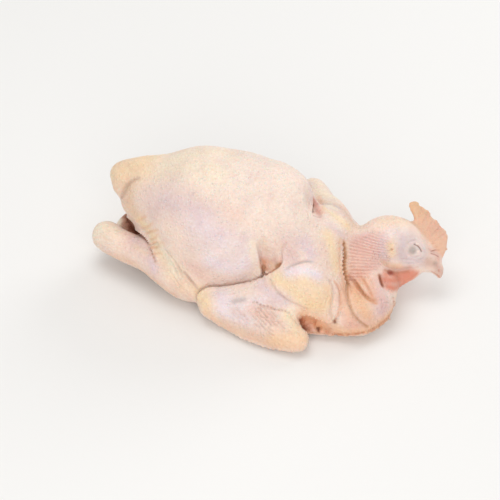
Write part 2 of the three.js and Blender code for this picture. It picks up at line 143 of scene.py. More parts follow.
def points_of(mesh):
    flat = np.empty(len(mesh.vertices) * 3)
    mesh.vertices.foreach_get("co", flat)
    return flat.reshape(-1, 3) / MM


def edges_of(mesh):
    flat = np.empty(len(mesh.edges) * 2, dtype=np.int64)
    mesh.edges.foreach_get("vertices", flat)
    return flat.reshape(-1, 2)


def write_points(mesh, at):
    mesh.vertices.foreach_set("co", (at * MM).ravel())
    mesh.update()


def normals_of(mesh):
    flat = np.empty(len(mesh.vertices) * 3)
    mesh.vertex_normals.foreach_get("vector", flat)
    return flat.reshape(-1, 3)


def neighbour_mean(values, edges):
    """Each point's average over its neighbours."""
    a, b = edges.T
    count = np.bincount(edges.ravel(), minlength=len(values))
    total = np.empty_like(values)
    for axis in range(values.shape[1]):
        total[:, axis] = np.bincount(a, values[b, axis], len(values))
        total[:, axis] += np.bincount(b, values[a, axis], len(values))
    return total / count[:, None]


def smoothed(at, edges, rounds, share):
    for _ in range(rounds):
        at = at + (neighbour_mean(at, edges) - at) * share
    return at


print("even skin:", len(edges_of(skin.data)), "edges")

# %% The head's own directions
HEAD_AT = np.array(HIPS) + (143.7, 32.0, 43.5)  # the middle of the skull
HEAD_FORWARD = np.array((0.96, 0.11, -0.258))
HEAD_FORWARD /= np.linalg.norm(HEAD_FORWARD)
HEAD_RIGHT = np.array((0.258, -0.709, 0.656))  # out of the cheek that shows
HEAD_RIGHT -= HEAD_FORWARD * (HEAD_RIGHT @ HEAD_FORWARD)
HEAD_RIGHT /= np.linalg.norm(HEAD_RIGHT)
HEAD_UP = np.cross(HEAD_RIGHT, HEAD_FORWARD)
HEAD_AXES = np.array((HEAD_FORWARD, HEAD_UP, HEAD_RIGHT))


def in_head(at):
    """Points as distances forward, up and out of the right cheek, from the middle of the skull."""
    return (at - HEAD_AT) @ HEAD_AXES.T


print("the beak points along", HEAD_FORWARD.round(2))

# %% Smooth the body more than the head
HEAD_BALL = HEAD_AT + HEAD_FORWARD * 6 + HEAD_UP * 2  # the middle of skull, beak and comb
HEAD_SIZE = 44.0
BODY_SMOOTHING = 0.5  # how far a point goes towards its neighbours in each round
HEAD_SMOOTHING = 0.12
SMOOTHING_ROUNDS = 9


def fade(distance, inner, outer):
    """1 up to `inner`, 0 from `outer`, and smooth between."""
    t = np.clip((outer - distance) / (outer - inner), 0, 1)
    return t * t * (3 - 2 * t)


def near_head(at):
    """1 on the head, 0 on the body, and smooth between."""
    to_head = np.linalg.norm(at - HEAD_BALL, axis=1)
    return fade(to_head, HEAD_SIZE - 4, HEAD_SIZE + 8)


at = points_of(skin.data)
edges = edges_of(skin.data)
share = (BODY_SMOOTHING - (BODY_SMOOTHING - HEAD_SMOOTHING) * near_head(at))[:, None]
at = smoothed(at, edges, SMOOTHING_ROUNDS, share)
write_points(skin.data, at)
print("smoothed the skin", SMOOTHING_ROUNDS, "times")

# %% Look through the picture on to the skin


def skin_tree():
    """A search tree of the skin as it is now."""
    faces = [p.vertices[:] for p in skin.data.polygons]
    return BVHTree.FromPolygons([Vector(p) for p in at], faces)


def on_skin(pixel):
    """The first point of the skin behind a pixel, or the nearest point where the ray misses it."""
    scale = SENSOR / LENS / PICTURE
    ray = picture_right * ((pixel[0] - HIPS_PIXEL[0]) * scale)
    ray += picture_up * ((HIPS_PIXEL[1] - pixel[1]) * scale)
    ray = (ray - towards_camera).normalized()
    place = tree.ray_cast(eye, ray)[0]
    if place is None:
        place = tree.find_nearest(eye + ray * DISTANCE)[0]
    return np.array(place)


tree = skin_tree()
print("the skin over the hips lies at", on_skin(HIPS_PIXEL).round(1), "mm")

# %% Where the folds are fine
NECK_LOOP = np.array(HIPS) + (125.3, -17.6, 22.0)  # where the neck turns back on itself
NECK_LOOP_SIZE = 34.0
UNDERSIDE = 1.0  # millimetres above the floor: the flat that the bird lies on stays coarse
FOLDED = (
    # where in the picture, and how far around it in millimetres
    ((225, 310), 30),  # the elbow and the forearm of the near wing
    ((270, 318), 34),
    ((300, 335), 22),  # its tip
    ((318, 290), 30),  # the skin in front of the wing
    ((270, 258), 24),  # the armpit
    ((145, 235), 22),  # the ruffle behind the thigh
    ((178, 268), 26),  # the knee
    ((314, 204), 17),  # the pocket at the far wing
    ((344, 260), 26),  # the crease round the neck
)
WRINKLED = (
    ((264, 314), 19),  # the hatched skin of the forearm
    ((280, 330), 12),
    ((268, 264), 15),
    ((240, 284), 10),  # where the wing lies on the thigh
    ((150, 245), 13),
    ((183, 270), 15),
    ((314, 207), 9),
    ((344, 255), 14),
    ((347, 280), 12),
    ((362, 285), 17),  # the folds of the neck
    ((316, 325), 18),  # the torn edge
)
print(len(FOLDED), "folded places and", len(WRINKLED), "wrinkled ones")

# %% Split the faces there


def split_faces(mesh, chosen):
    """Cuts each edge whose two ends are both chosen in half, and the faces with them."""
    shape = bmesh.new()
    shape.from_mesh(mesh)
    shape.verts.ensure_lookup_table()
    cuts = [e for e in shape.edges if chosen[e.verts[0].index] and chosen[e.verts[1].index]]
    bmesh.ops.subdivide_edges(shape, edges=cuts, cuts=1, use_grid_fill=True)
    shape.to_mesh(mesh)
    shape.free()


def away_from(point):
    return np.linalg.norm(at - point, axis=1)


chosen = (near_head(at) > 0.5) | (away_from(NECK_LOOP) < NECK_LOOP_SIZE)
chosen &= at[:, 2] > UNDERSIDE
for pixel, radius in FOLDED:
    chosen |= away_from(on_skin(pixel)) < radius
split_faces(skin.data, chosen)
at = points_of(skin.data)
edges = edges_of(skin.data)
print("skin with finer folds:", len(at), "points,", len(skin.data.polygons), "faces")

# %% Bring the head's points back on to the solid, which has its exact outline


def pulled_to_solid(at, weight):
    """Moves points to the nearest place on the CAD solid, as far as `weight` says."""
    moved = at.copy()
    for i in np.nonzero(weight > 0.01)[0]:
        place = solid_tree.find_nearest(Vector(at[i]))[0]
        moved[i] += (np.array(place) - at[i]) * weight[i]
    return moved


for _ in range(2):
    at = pulled_to_solid(at, near_head(at))
    at = smoothed(at, edges, 2, 0.5 * near_head(at)[:, None])
at = smoothed(at, edges, 3, 0.4)
write_points(skin.data, at)
print("head pulled to the solid:", int((near_head(at) > 0.5).sum()), "points")

# %% Split the face, the ribbed neck and the wrinkles once more, where they show
RIBBED = np.array(HIPS) + (116.3, 14.4, 45.0)  # the middle of the ribbed skin of the neck
RIBBED_SIZE = 14.0
FACE_START = (-14, -24, -3)  # the face lies forward of, above and to the right of these

face = (near_head(at) > 0.9) & (in_head(at) > FACE_START).all(1)
fine = face | (away_from(RIBBED) < RIBBED_SIZE)
for pixel, radius in WRINKLED:
    fine |= away_from(on_skin(pixel)) < radius
split_faces(skin.data, fine)
at = points_of(skin.data)
edges = edges_of(skin.data)
at = smoothed(at, edges, 2, 0.5 * near_head(at)[:, None])
write_points(skin.data, at)
tree = skin_tree()
print("skin with a fine face:", len(at), "points,", len(skin.data.polygons), "faces")

# %% [markdown]
# ## Sculpting tools
#
# A fold in skin is a line with a shape across it: a groove goes down on both sides, and a lap
# stands higher on one side, where loose skin lies over the skin below. Each tool finds how far
# every point is from a line and moves it along its normal. Blender's sculpt brushes do the same
# by hand; in code the strokes can be repeated exactly.

# %% Throw a line drawn in the picture on to the skin
DRAW_STEP = 1.5  # pixels between the points of a line on the skin


def bend(points, step):
    """A smooth curve through the points, with a point about every `step`."""
    p = np.array(points, float)
    p = np.vstack([2 * p[0] - p[1], p, 2 * p[-1] - p[-2]])
    line = []
    for a, b, c, d in zip(p, p[1:], p[2:], p[3:]):
        pieces = max(1, int(np.linalg.norm(c - b) / step))
        for t in np.arange(pieces) / pieces:
            line.append(0.5 * (2 * b + (c - a) * t + (2 * a - 5 * b + 4 * c - d) * t**2
                               + (3 * b - a - 3 * c + d) * t**3))
    line.append(p[-2])
    return np.array(line)


def drawn(pixels):
    """A line of picture coordinates as a line on the skin."""
    return np.array([on_skin(p) for p in bend(pixels, DRAW_STEP)])


def mirrored(line):
    """The same line on the body's other side."""
    other = line * (1, -1, 1) + (0, 2 * HIPS.y, 0)
    return np.array([tree.find_nearest(Vector(p))[0][:] for p in other])


def both_sides(pixels):
    line = drawn(pixels)
    return line, mirrored(line)


print("the camera sees the skin from", round((eye - HIPS).length), "mm away")

# %% Measure every point against a line


def against(line, limit):
    """For points nearer than `limit` to the line: index, distance, side (-1 or 1) and share along."""
    inside = ((at > line.min(0) - limit) & (at < line.max(0) + limit)).all(1)
    index = np.nonzero(inside)[0]
    a, b = line[:-1], line[1:]
    ab = b - a
    p = at[index][:, None, :]
    t = np.clip(((p - a) * ab).sum(2) / np.maximum((ab**2).sum(1), 1e-9), 0, 1)
    off = p - a - t[:, :, None] * ab
    away = np.linalg.norm(off, axis=2)
    best = away.argmin(1)
    rows = np.arange(len(index))
    away, off, t = away[rows, best], off[rows, best], t[rows, best]
    side = np.sign((np.cross(ab[best], normal[index]) * off).sum(1))
    along = (best + t) / len(a)
    keep = away < limit
    return index[keep], away[keep], side[keep], along[keep]


def taper(along, ends):
    """1 in the middle of a line, going down to 0 over a share of its length at each end."""
    start, finish = ends
    rise = np.clip(along / max(start, 1e-6), 0, 1)
    fall = np.clip((1 - along) / max(finish, 1e-6), 0, 1)
    return np.sqrt(np.minimum(rise, fall))


def bell(distance, width):
    return np.exp(-((distance / width) ** 2))


print("one width beside its line, a stroke keeps", round(float(bell(1, 1)), 2), "of its strength")

# %% Grooves, laps and mounds
normal = normals_of(skin.data)
move = np.zeros(len(at))  # how far each point is to go along its normal
LIP_AT = 1.9  # a lip stands this many widths beside its crease
STEEP = 0.6  # a crease under a lap is narrow on the high side
SOFT = 1.6  # and wide on the low side


def groove(line, width, depth, lip=0.0, ends=(0.2, 0.2)):
    """A crease `depth` deep, with a soft lip on each side. A negative depth makes a ridge."""
    index, away, _, along = against(line, 4 * width)
    shape = lip * bell(away - LIP_AT * width, width) - depth * bell(away, width)
    move[index] += shape * taper(along, ends)


def lap(line, height, reach, width, depth, ends=(0.2, 0.2), side=1):
    """Skin that lies over skin: high on one side of the line, and a crease on the other."""
    index, away, beside, along = against(line, 3 * reach)
    over = np.where(beside == side, height * bell(away - width, reach), 0)
    under = -depth * bell(away, np.where(beside == side, STEEP * width, SOFT * width))
    move[index] += (over + under) * taper(along, ends)


def swell(centre, size, height):
    """A low mound, or a hollow where the height is negative."""
    away = np.linalg.norm(at - centre, axis=1)
    move[:] += height * bell(away, size)


print("ready to move", len(move), "points")

# %% Settle the skin, or iron it


def settle():
    """Moves the points by what the tools have asked for, and measures the skin again."""
    global at, normal, tree
    at = at + normal * move[:, None]
    at[:, 2] = np.maximum(at[:, 2], 0)
    move[:] = 0
    write_points(skin.data, at)
    normal = normals_of(skin.data)
    tree = skin_tree()


def iron(line, width, rounds):
    """Smooths the skin near a line, which fills a crease of the solid."""
    global at
    near = np.zeros(len(at))
    index, away, _, _ = against(line, 2 * width)
    near[index] = fade(away, width, 2 * width)
    at = smoothed(at, edges, rounds, 0.5 * near[:, None])


gaps = np.linalg.norm(at[edges[:, 0]] - at[edges[:, 1]], axis=1)
print("the points lie", gaps.mean().round(2), "mm apart on average, the finest", gaps.min().round(2))

# %% Uneven surfaces


def lattice_noise(places, size, seed):
    """Smooth random values from -1 to 1, which change over about `size` millimetres."""
    table = np.random.default_rng(seed).uniform(-1, 1, (32, 32, 32))
    q = places / size + 1000.0
    cell = np.floor(q).astype(int)
    t = q - cell
    t = t * t * (3 - 2 * t)
    value = np.zeros(len(q))
    for corner in np.ndindex(2, 2, 2):
        k = (cell + corner) % 32
        weight = np.where(np.array(corner) == 1, t, 1 - t).prod(1)
        value += weight * table[k[:, 0], k[:, 1], k[:, 2]]
    return value


print("noise on the skin reaches", np.abs(lattice_noise(at, 20.0, 1)).max().round(2))

# %% A tool for puckers


def lengths_along(line):
    """How far each point of a line lies from its start, in millimetres."""
    return np.concatenate([[0], np.cumsum(np.linalg.norm(np.diff(line, axis=0), axis=1))])


WANDER = 0.9  # millimetres by which puckers leave their even spacing
WANDER_SEED = 7


def wandering(index, along, line, spacing):
    """How far along a line each point lies, with a little wandering, so that no two folds match."""
    off = WANDER * lattice_noise(at[index], 2 * spacing, WANDER_SEED)
    return along * lengths_along(line)[-1] + off


def puckers(line, spacing, height, reach, ends=(0.2, 0.2), side=0):
    """Small folds across a line, as where a thread gathers cloth. A side of 0 means both sides."""
    index, away, beside, along = against(line, 2.5 * reach)
    travelled = wandering(index, along, line, spacing)
    wave = np.cos(2 * math.pi * travelled / spacing)
    beyond = bell(away, reach) * np.where((side == 0) | (beside == side), 1, 0)
    move[index] += height * wave * beyond * taper(along, ends)


print("puckers stray up to", WANDER, "mm from an even spacing")

# %% Tools for bumps


def beads(line, spacing, size, height, seed):
    """Follicle bumps in a row along a line, each a little out of place."""
    draw = np.random.default_rng(seed)
    travelled = lengths_along(line)
    for place in np.arange(spacing / 2, travelled[-1], spacing):
        place += draw.uniform(-0.25, 0.25) * spacing
        centre = np.array([np.interp(place, travelled, line[:, axis]) for axis in range(3)])
        swell(centre, size=size * draw.uniform(0.8, 1.2), height=height * draw.uniform(0.6, 1.3))


def bumps_over(chosen, spacing, size, height, seed):
    """Follicle bumps all over the chosen points, no two nearer than the spacing."""
    draw = np.random.default_rng(seed)
    candidates = draw.permutation(np.nonzero(chosen)[0])
    taken = set()
    cell_of = np.floor(at / spacing).astype(int)
    for i in candidates:
        cell = tuple(cell_of[i])
        if cell in taken:
            continue
        taken.add(cell)
        near = np.nonzero(np.abs(at - at[i]).max(1) < 2.5 * size)[0]
        away = np.linalg.norm(at[near] - at[i], axis=1)
        move[near] += height * draw.uniform(0.5, 1.2) * bell(away, size)
    return len(taken)


print("tools ready for", len(at), "points")

# %% [markdown]
# ## Large forms
#
# The solid has each limb and lobe. What it leaves out are the low mounds and hollows of muscle
# under skin: the hip bones, the hollow in front of the thigh, the flat of the shoulder blade. Some
# edges also move a few millimetres sideways, as loose skin does when the bird is laid down. Both
# come before any crease, because a crease has to run over the finished form.

# %% Where the large forms lie
FORMS = (
    # where in the picture, how wide and how high in millimetres
    ((214, 152), 9, 1.2),  # the hump of the hip bones
    ((168, 163), 16, -1.0),  # the dip towards the tail
    ((206, 222), 30, 1.6),  # the thigh's muscle
    ((246, 210), 16, -1.0),  # the hollow between thigh and back
    ((262, 232), 9, -1.2),  # above the armpit
    ((291, 222), 13, 1.0),  # the shoulder blade
    ((318, 236), 12, -1.2),  # between shoulder and neck
    ((304, 290), 12, 1.6),  # the fold of skin in front of the wing
    ((248, 306), 9, -1.4),  # between the two bones of the forearm
    ((120, 178), 8, 0.8),  # the fat pad of the tail
    ((112, 240), 10, 0.8),  # the end of the near leg
    ((176, 272), 9, 1.0),  # the knee
    ((331, 204), 9, 2.5),  # the far wing's upper arm
    ((117, 189), 6, 2.8),  # the tail's lower corner
    ((125, 204), 7, 2.6),  # the back of the thigh below it
)

SHIFTS = (
    # where in the picture, how far around it, and how far to the right and up, in millimetres
    ((316, 203), 12, (-7.5, 0)),  # the back's edge in front of the far wing
    ((133, 226), 9, (2.0, 3.5)),  # the back of the thigh above the leg
    ((142, 231), 7, (1.0, 2.0)),  # and a little further down
    ((108, 227), 13, (0, 2.4)),  # the near leg's end
    ((128, 237), 8, (0, 2.0)),  # and its upper edge
)

print(len(FORMS), "mounds and hollows,", len(SHIFTS), "places that slide")

# %% Slide the loose edges, then raise the mounds and sink the hollows
UNEVEN_HEIGHT = 0.5  # millimetres, because no muscle is a perfect ball
UNEVEN_SIZE = 26.0

for pixel, size, (right, upwards) in SHIFTS:
    weight = bell(away_from(on_skin(pixel)), size)[:, None]
    at = at + weight * (right * np.array(picture_right) + upwards * np.array(picture_up))
settle()
for pixel, size, height in FORMS:
    swell(on_skin(pixel), size, height)
move += UNEVEN_HEIGHT * lattice_noise(at, UNEVEN_SIZE, 1) * (1 - near_head(at))
settle()
print("the skin now reaches", at[:, 2].max().round(1), "mm above the floor")

# %% [markdown]
# ## Folds and creases
#
# Loose skin folds where a limb meets the body. The fold at the thigh, the puckered crease round
# the neck and the lips of the armpit are what make this read as skin, so each one gets its own
# line. A lap is used where one sheet of skin hangs over the next, and a groove where both sides
# are alike.

# %% Iron out the solid's creases that lie a little beside the skin's own
IRONED = (
    # the line in the picture, how far around it in millimetres, how many rounds
    (((222, 283), (236, 280), (253, 275)), 4.0, 10),  # the near wing on the thigh
    (((309, 182), (313, 190), (317, 199)), 4.0, 30),  # the far wing
    (((316, 201), (319, 204), (322, 208)), 3.0, 12),  # the rim of its pocket
    (((324, 207), (331, 214), (341, 226), (347, 238)), 6.0, 40),
    (((321, 202), (325, 202), (332, 204), (341, 207)), 7.0, 140),  # its upper arm
    (((348, 236), (349, 250), (349.5, 262), (350, 275), (350.5, 288)), 3.5, 14),  # the neck
)

FILLED = ((319, 200), (324, 201), (332, 203), (341, 208))  # a dip that is left on the far wing

for pixels, width, rounds in IRONED:
    iron(drawn(pixels), width, rounds)
settle()
groove(drawn(FILLED), width=3.2, depth=-1.6, ends=(0.1, 0.3))
settle()
print("ironed", len(IRONED), "creases")

# %% Where the tail, the thigh and the leg crease
TAIL_CREASE = ((121, 198), (123.5, 192), (126.5, 186), (132, 181), (139, 178))
RUFFLE_SPACING = 4.2  # millimetres between the folds that gather the skin there
THIGH_FOLD = (
    (126, 213), (128.5, 219), (132, 225), (137, 230.5), (142.5, 234.5), (146.5, 238.5), (149, 243),
    (151, 249), (153, 255), (155.5, 262),
)
KNEE_FOLDS = (
    # the line in the picture, how deep in millimetres
    (((166, 250), (171, 256), (176, 262.5), (180, 270), (182.5, 277)), 0.8),
    (((179, 249), (183, 258), (185.5, 266), (187, 273)), 0.5),
    (((184.5, 272), (189, 278), (193.5, 283.5), (198, 289)), 1.2),
    (((156, 269), (161, 268), (166, 268.5)), 0.6),
    (((168, 268), (174, 278), (181, 288)), 0.6),
    (((176, 282), (184, 290), (192, 297)), 0.5),
)
KNEE_RIDGE = ((160, 245), (166, 252), (172, 259), (177, 267), (180.5, 276), (184, 286))
LEG_LOOSE = ((158, 262), (165, 272), (176, 284), (188, 294))
RUFFLES = (
    ((142, 228), (147, 227), (153, 223)),
    ((147, 233), (152, 231), (158, 230)),
    ((150, 239), (154, 238.5), (158, 235)),
    ((151.5, 244), (156, 242.5), (164, 243)),
    ((152, 247.5), (156, 247.5), (160, 245)),
    ((154, 254), (158, 253), (162, 254)),
    ((137, 221.5), (142, 218), (146, 217)),
)
print(len(KNEE_FOLDS), "folds at the knee and", len(RUFFLES), "behind the thigh")

# %% Crease the tail and the legs, on both sides
for tail_depth, line in zip((2.6, 2.0), both_sides(TAIL_CREASE)):
    groove(line, width=1.9, depth=tail_depth, lip=0.6, ends=(0.1, 0.5))
for side, thigh_fold in zip((1, -1), both_sides(THIGH_FOLD)):
    lap(thigh_fold, height=1.5, reach=3.4, width=1.3, depth=3.2, ends=(0.1, 0.3), side=-side)
    puckers(thigh_fold, spacing=RUFFLE_SPACING, height=0.9, reach=3.6, ends=(0.1, 0.3), side=-side)
for pixels in RUFFLES:
    for line in both_sides(pixels):
        groove(line, width=0.9, depth=0.6, lip=0.3, ends=(0.15, 0.5))
for pixels, depth in KNEE_FOLDS:
    for line in both_sides(pixels):
        groove(line, width=0.8 + 0.2 * depth, depth=depth, lip=0.4 * depth, ends=(0.4, 0.3))
groove(drawn(KNEE_RIDGE), width=1.7, depth=-1.2, ends=(0.4, 0.4))
groove(drawn(LEG_LOOSE), width=2.0, depth=0.5, ends=(0.5, 0.5))
settle()
print("creased the tail and the legs")

# %% [markdown]
# ## Pockets and the torn edge
#
# Between wing and body the skin dips into a pocket, and where the neck was cut free the skin of the
# breast has a ragged edge. Such a place needs three strokes: a wide groove for the floor, a lap for
# the edge that hangs over it, and a small ridge for the far rim. A boolean cut would give a sharper
# hole, but its rim would look like cut clay and not like skin.

# %% Where the armpit, the far wing's pocket and the torn edge lie
ARMPIT = ((257, 243), (258.5, 250), (259.8, 257), (261, 264), (262, 271), (262.6, 276.5))
POCKET_EDGE = (
    (288, 241), (284.5, 245.5), (281.5, 250), (282, 257), (281.8, 262), (279.5, 266.3), (274, 270.5),
    (268, 274), (262.8, 276.8),
)
POCKET_FLOOR = ((272, 249), (270, 257), (268, 264), (265, 271))
POCKET_CORNER = ((275, 266), (279, 264))
SLIT = ((312, 192), (313, 198), (313.4, 205), (312.3, 213))
SLIT_RIM = ((311.5, 214.5), (316, 218.7), (321, 218), (324.3, 212), (323.5, 205), (319.5, 198))
SLIT_FLOOR = ((316, 202), (317.5, 208), (318.5, 213))
TORN_FLOOR = ((305, 322), (310, 322), (316, 324))
TORN_NOTCHES = ((318.5, 329.5), (303.5, 328), (334.5, 321.5))
print("two pockets, and a torn edge with", len(TORN_NOTCHES), "notches")

# %% Hollow them out
lap(drawn(ARMPIT), height=1.5, reach=4.0, width=1.2, depth=3.2, ends=(0.5, 0.02))
groove(drawn(POCKET_FLOOR), width=4.6, depth=3.0, ends=(0.9, 0.05))
swell(on_skin(POCKET_CORNER[0]), size=3.0, height=-1.6)
settle()
lap(drawn(POCKET_EDGE), height=1.1, reach=3.2, width=1.0, depth=2.4, ends=(0.5, 0.05), side=-1)
groove(drawn(SLIT_FLOOR), width=3.2, depth=4.0, ends=(0.3, 0.1))
lap(drawn(SLIT), height=0.8, reach=3.0, width=1.0, depth=1.8, ends=(0.5, 0.1))
groove(drawn(SLIT_RIM), width=1.3, depth=-0.9, ends=(0.2, 0.3))
groove(drawn(TORN_FLOOR), width=3.4, depth=2.8, ends=(0.05, 0.3))
for pixel in TORN_NOTCHES:
    swell(on_skin(pixel), size=1.8, height=-2.8)
settle()
print("hollowed the pockets")

# %% [markdown]
# ## Wings and shoulders
#
# The near wing lies on the thigh, so the thigh's skin laps against it, and thin skin spans from
# the shoulder to the wrist. The forearm shows a field of short broken wrinkles, as on the back of a
# bent elbow. Drawn by hand they would come out too even, so a seeded random draw lays them in rows.

# %% Where the wings and shoulders crease
WING_TOP = (
    (196.5, 301), (197, 295.5), (200.5, 290.5), (206, 287.3), (213, 286.3), (222, 286.3), (232, 285),
    (243, 282.8), (253, 280), (262.5, 277),
)
SHOULDER_LINE = ((286.5, 268.5), (292, 266), (299, 263.5), (306, 262), (312.5, 262))
SHOULDER_WRINKLES = (
    ((289, 254), (296, 253), (303, 255.5)),
    ((262, 229), (263.5, 236), (267, 242)),
    ((271, 236), (275, 243), (279, 248)),
    ((288.5, 231), (288.5, 240)),
)
PATAGIUM_EDGE = ((270, 279), (274, 286), (278, 292), (284, 297), (291, 301.5), (299, 305), (307, 308.5))
FRONT_FOLD = ((334, 281), (338.5, 288), (340.5, 297), (340, 307), (337.5, 315), (335, 321))
FRONT_FOLD_INNER = ((329, 280), (332.5, 287), (333.3, 295), (331.5, 303), (330.3, 311), (331.5, 319))
FRONT_FOLD_SHORT = ((324, 273), (328, 279), (333, 284))
BONE_HOLLOW = ((222, 302), (236, 300), (250, 299), (262, 298))
WRIST_FOLD = ((285, 312), (291, 316), (296, 321), (299, 326))
print(len(SHOULDER_WRINKLES), "wrinkles on the shoulder")

# %% Lay out the short wrinkles of the forearm
HATCH_ZONES = (
    # the middle in the picture, the half lengths along and across, how deep in millimetres
    ((266, 318), (17, 12), 0.6),
    ((238, 317), (12, 8), 0.4),
)
HATCH_DIRECTION = np.array((0.72, 0.69))
HATCH_SPACING = 3.3  # pixels between rows
HATCH_LENGTH = (5, 10)  # pixels, the shortest and the longest
HATCH_GAP = (1, 4)  # pixels between two in a row
HATCH_BORDER = (
    (251, 302.5), (256, 302), (262, 305.5), (268, 306.5), (275, 309.5), (283, 310.5), (291, 313),
)
HATCH_STITCH = 3.4  # millimetres between the puckers of the border


def hatches():
    """Short broken wrinkles in rows, each as its line in the picture and its depth."""
    draw = np.random.default_rng(41)
    across = HATCH_DIRECTION[::-1] * (-1, 1)
    found = []
    for middle, (half_length, half_width), depth in HATCH_ZONES:
        for row in np.arange(-half_width, half_width, HATCH_SPACING):
            reach = half_length * math.sqrt(1 - (row / half_width) ** 2)
            place = -reach + draw.uniform(0, 4)
            while place < reach - 4:
                length = draw.uniform(*HATCH_LENGTH)
                wander = draw.uniform(-1, 1, 3)
                found.append(([
                    middle + across * (row + w) + HATCH_DIRECTION * (place + share * length)
                    for w, share in zip(wander, (0, 0.5, 1))
                ], depth * draw.uniform(0.6, 1.3)))
                place += length + draw.uniform(*HATCH_GAP)
    return found


wrinkles = hatches()
print("laid out", len(wrinkles), "wrinkles")

# %% Crease the wings and shoulders
lap(drawn(WING_TOP), height=1.5, reach=3.8, width=1.2, depth=2.6, ends=(0.08, 0.02))
lap(drawn(SHOULDER_LINE), height=0.8, reach=3.6, width=1.0, depth=1.7, ends=(0.4, 0.3))
for pixels in SHOULDER_WRINKLES:
    groove(drawn(pixels), width=1.0, depth=0.7, lip=0.35, ends=(0.4, 0.4))
lap(drawn(PATAGIUM_EDGE), height=0.7, reach=4.5, width=1.2, depth=0.7, ends=(0.2, 0.5), side=-1)
groove(drawn(FRONT_FOLD), width=1.2, depth=1.3, lip=0.8, ends=(0.3, 0.05))
groove(drawn(FRONT_FOLD_INNER), width=1.2, depth=0.8, lip=0.6, ends=(0.4, 0.1))
groove(drawn(FRONT_FOLD_SHORT), width=1.1, depth=0.5, lip=0.4, ends=(0.4, 0.4))
groove(drawn(BONE_HOLLOW), width=3.2, depth=1.0, ends=(0.4, 0.4))
for pixels, depth in wrinkles:
    groove(drawn(pixels), width=0.8, depth=depth, lip=0.6 * depth, ends=(0.4, 0.4))
groove(drawn(HATCH_BORDER), width=0.8, depth=0.7, lip=0.5, ends=(0.2, 0.4))
puckers(drawn(HATCH_BORDER), spacing=HATCH_STITCH, height=0.4, reach=1.8)
groove(drawn(WRIST_FOLD), width=1.4, depth=0.6, lip=0.4, ends=(0.4, 0.2))
settle()
print("creased the wings and shoulders")

# %% [markdown]
# ## The neck
#
# The neck turns back on itself, which gathers its skin. A deep crease with puckers runs down
# where it leaves the shoulders, loose folds fan out below the jaw, and fine ribs, rows of empty
# follicles, run round its side. A wave along one direction makes the ribs, and a little noise
# keeps them from looking turned on a lathe.

# %% Where the neck folds
NECK_CREASE = ((343.8, 242.5), (344.3, 248), (345, 256), (344.2, 265), (345.3, 275), (348, 284))
LOBE_FOLD = ((347.5, 284), (347.6, 295), (350, 305), (354, 314.5), (360.5, 321.5), (367.5, 326.5))
STITCH = 3.5  # millimetres between the puckers of the crease
NECK_FOLDS = (
    (((349, 276.5), (354, 281), (359, 288), (363.5, 294), (368.5, 298), (374, 300.5)), 1.8),
    (((360, 277), (365, 283), (369, 290), (372, 296.5)), 0.9),
    (((366, 275), (370.5, 281), (373.5, 288)), 0.5),
    (((366, 299), (371, 301.5), (377, 304)), 0.7),
    (((369, 303), (374, 305), (378, 307)), 0.5),
    (((384, 291), (388, 298), (390, 306), (388, 314)), 0.7),
    (((379, 293), (382, 302), (383.5, 312)), 0.6),
    (((381, 306), (386, 303), (392, 304)), 0.5),
    (((341, 300), (342.5, 311), (345, 322)), 0.6),
    (((355, 320), (359, 325), (362, 330)), 0.7),
)
RIB_EDGE = ((376, 247), (377.5, 254), (380, 260), (384, 267))
print(len(NECK_FOLDS), "loose folds below the jaw")

# %% Crease the neck
neck_crease = drawn(NECK_CREASE)
groove(neck_crease, width=1.7, depth=2.2, lip=0.4, ends=(0.4, 0.1))
puckers(neck_crease, spacing=STITCH, height=1.3, reach=2.8, ends=(0.3, 0.1))
lap(drawn(LOBE_FOLD), height=1.0, reach=3.6, width=1.1, depth=1.9, ends=(0.05, 0.3), side=-1)
for pixels, depth in NECK_FOLDS:
    groove(drawn(pixels), width=0.8 + 0.25 * depth, depth=depth, lip=0.5 * depth, ends=(0.3, 0.35))
groove(drawn(RIB_EDGE), width=0.8, depth=-0.7, ends=(0.4, 0.4))
settle()
print("creased the neck")

# %% Ribs across the neck
RIB_SPACING = 2.6  # millimetres
RIB_HEIGHT = 0.45
RIB_WANDER = 0.5  # millimetres
RIB_TILT = 0.3  # how steeply the upper ribs go down to the right
RIB_LINE = ((353, 262), (360, 256), (368, 252), (374, 250))
RIBS_FULL = 12.0  # millimetres from that line, up to where the ribs keep their height
RIBS_END = 19.0  # and where they have died away
RIBS_START = (347, 262)  # they begin to the right of this point of the crease


def over_ribs():
    """Where the neck is ribbed: 1 in the middle of its side, 0 away from it."""
    weight = np.zeros(len(at))
    index, away, _, _ = against(drawn(RIB_LINE), RIBS_END)
    weight[index] = fade(away, RIBS_FULL, RIBS_END)
    beyond_crease = (at - on_skin(RIBS_START)) @ np.array(picture_right)
    return weight * np.clip(beyond_crease / 4, 0, 1)


def rib_phase():
    """The ribs stand a fixed distance apart, wander a little, and the upper ones lean."""
    off = at - on_skin(RIB_LINE[1])
    height = off @ np.array(picture_up) + RIB_WANDER * lattice_noise(at, 9.0, 5)
    tilt = RIB_TILT * np.clip(0.5 + height / 20, 0, 1)
    return 2 * math.pi * (height + tilt * (off @ np.array(picture_right))) / RIB_SPACING


ribbed = over_ribs()
rib_wave = np.cos(rib_phase())
move += RIB_HEIGHT * rib_wave * ribbed
settle()
print("ribbed the neck:", int((ribbed > 0.5).sum()), "points")

# %% [markdown]
# ## Edges and bumps
#
# Along the free edges the skin is thick and frilled, with a bump at each follicle. The bumps could
# come from the material alone, but on an outline only real points show. So those on the edges are
# in the mesh, and the rest of the back gets its bumps from the material.

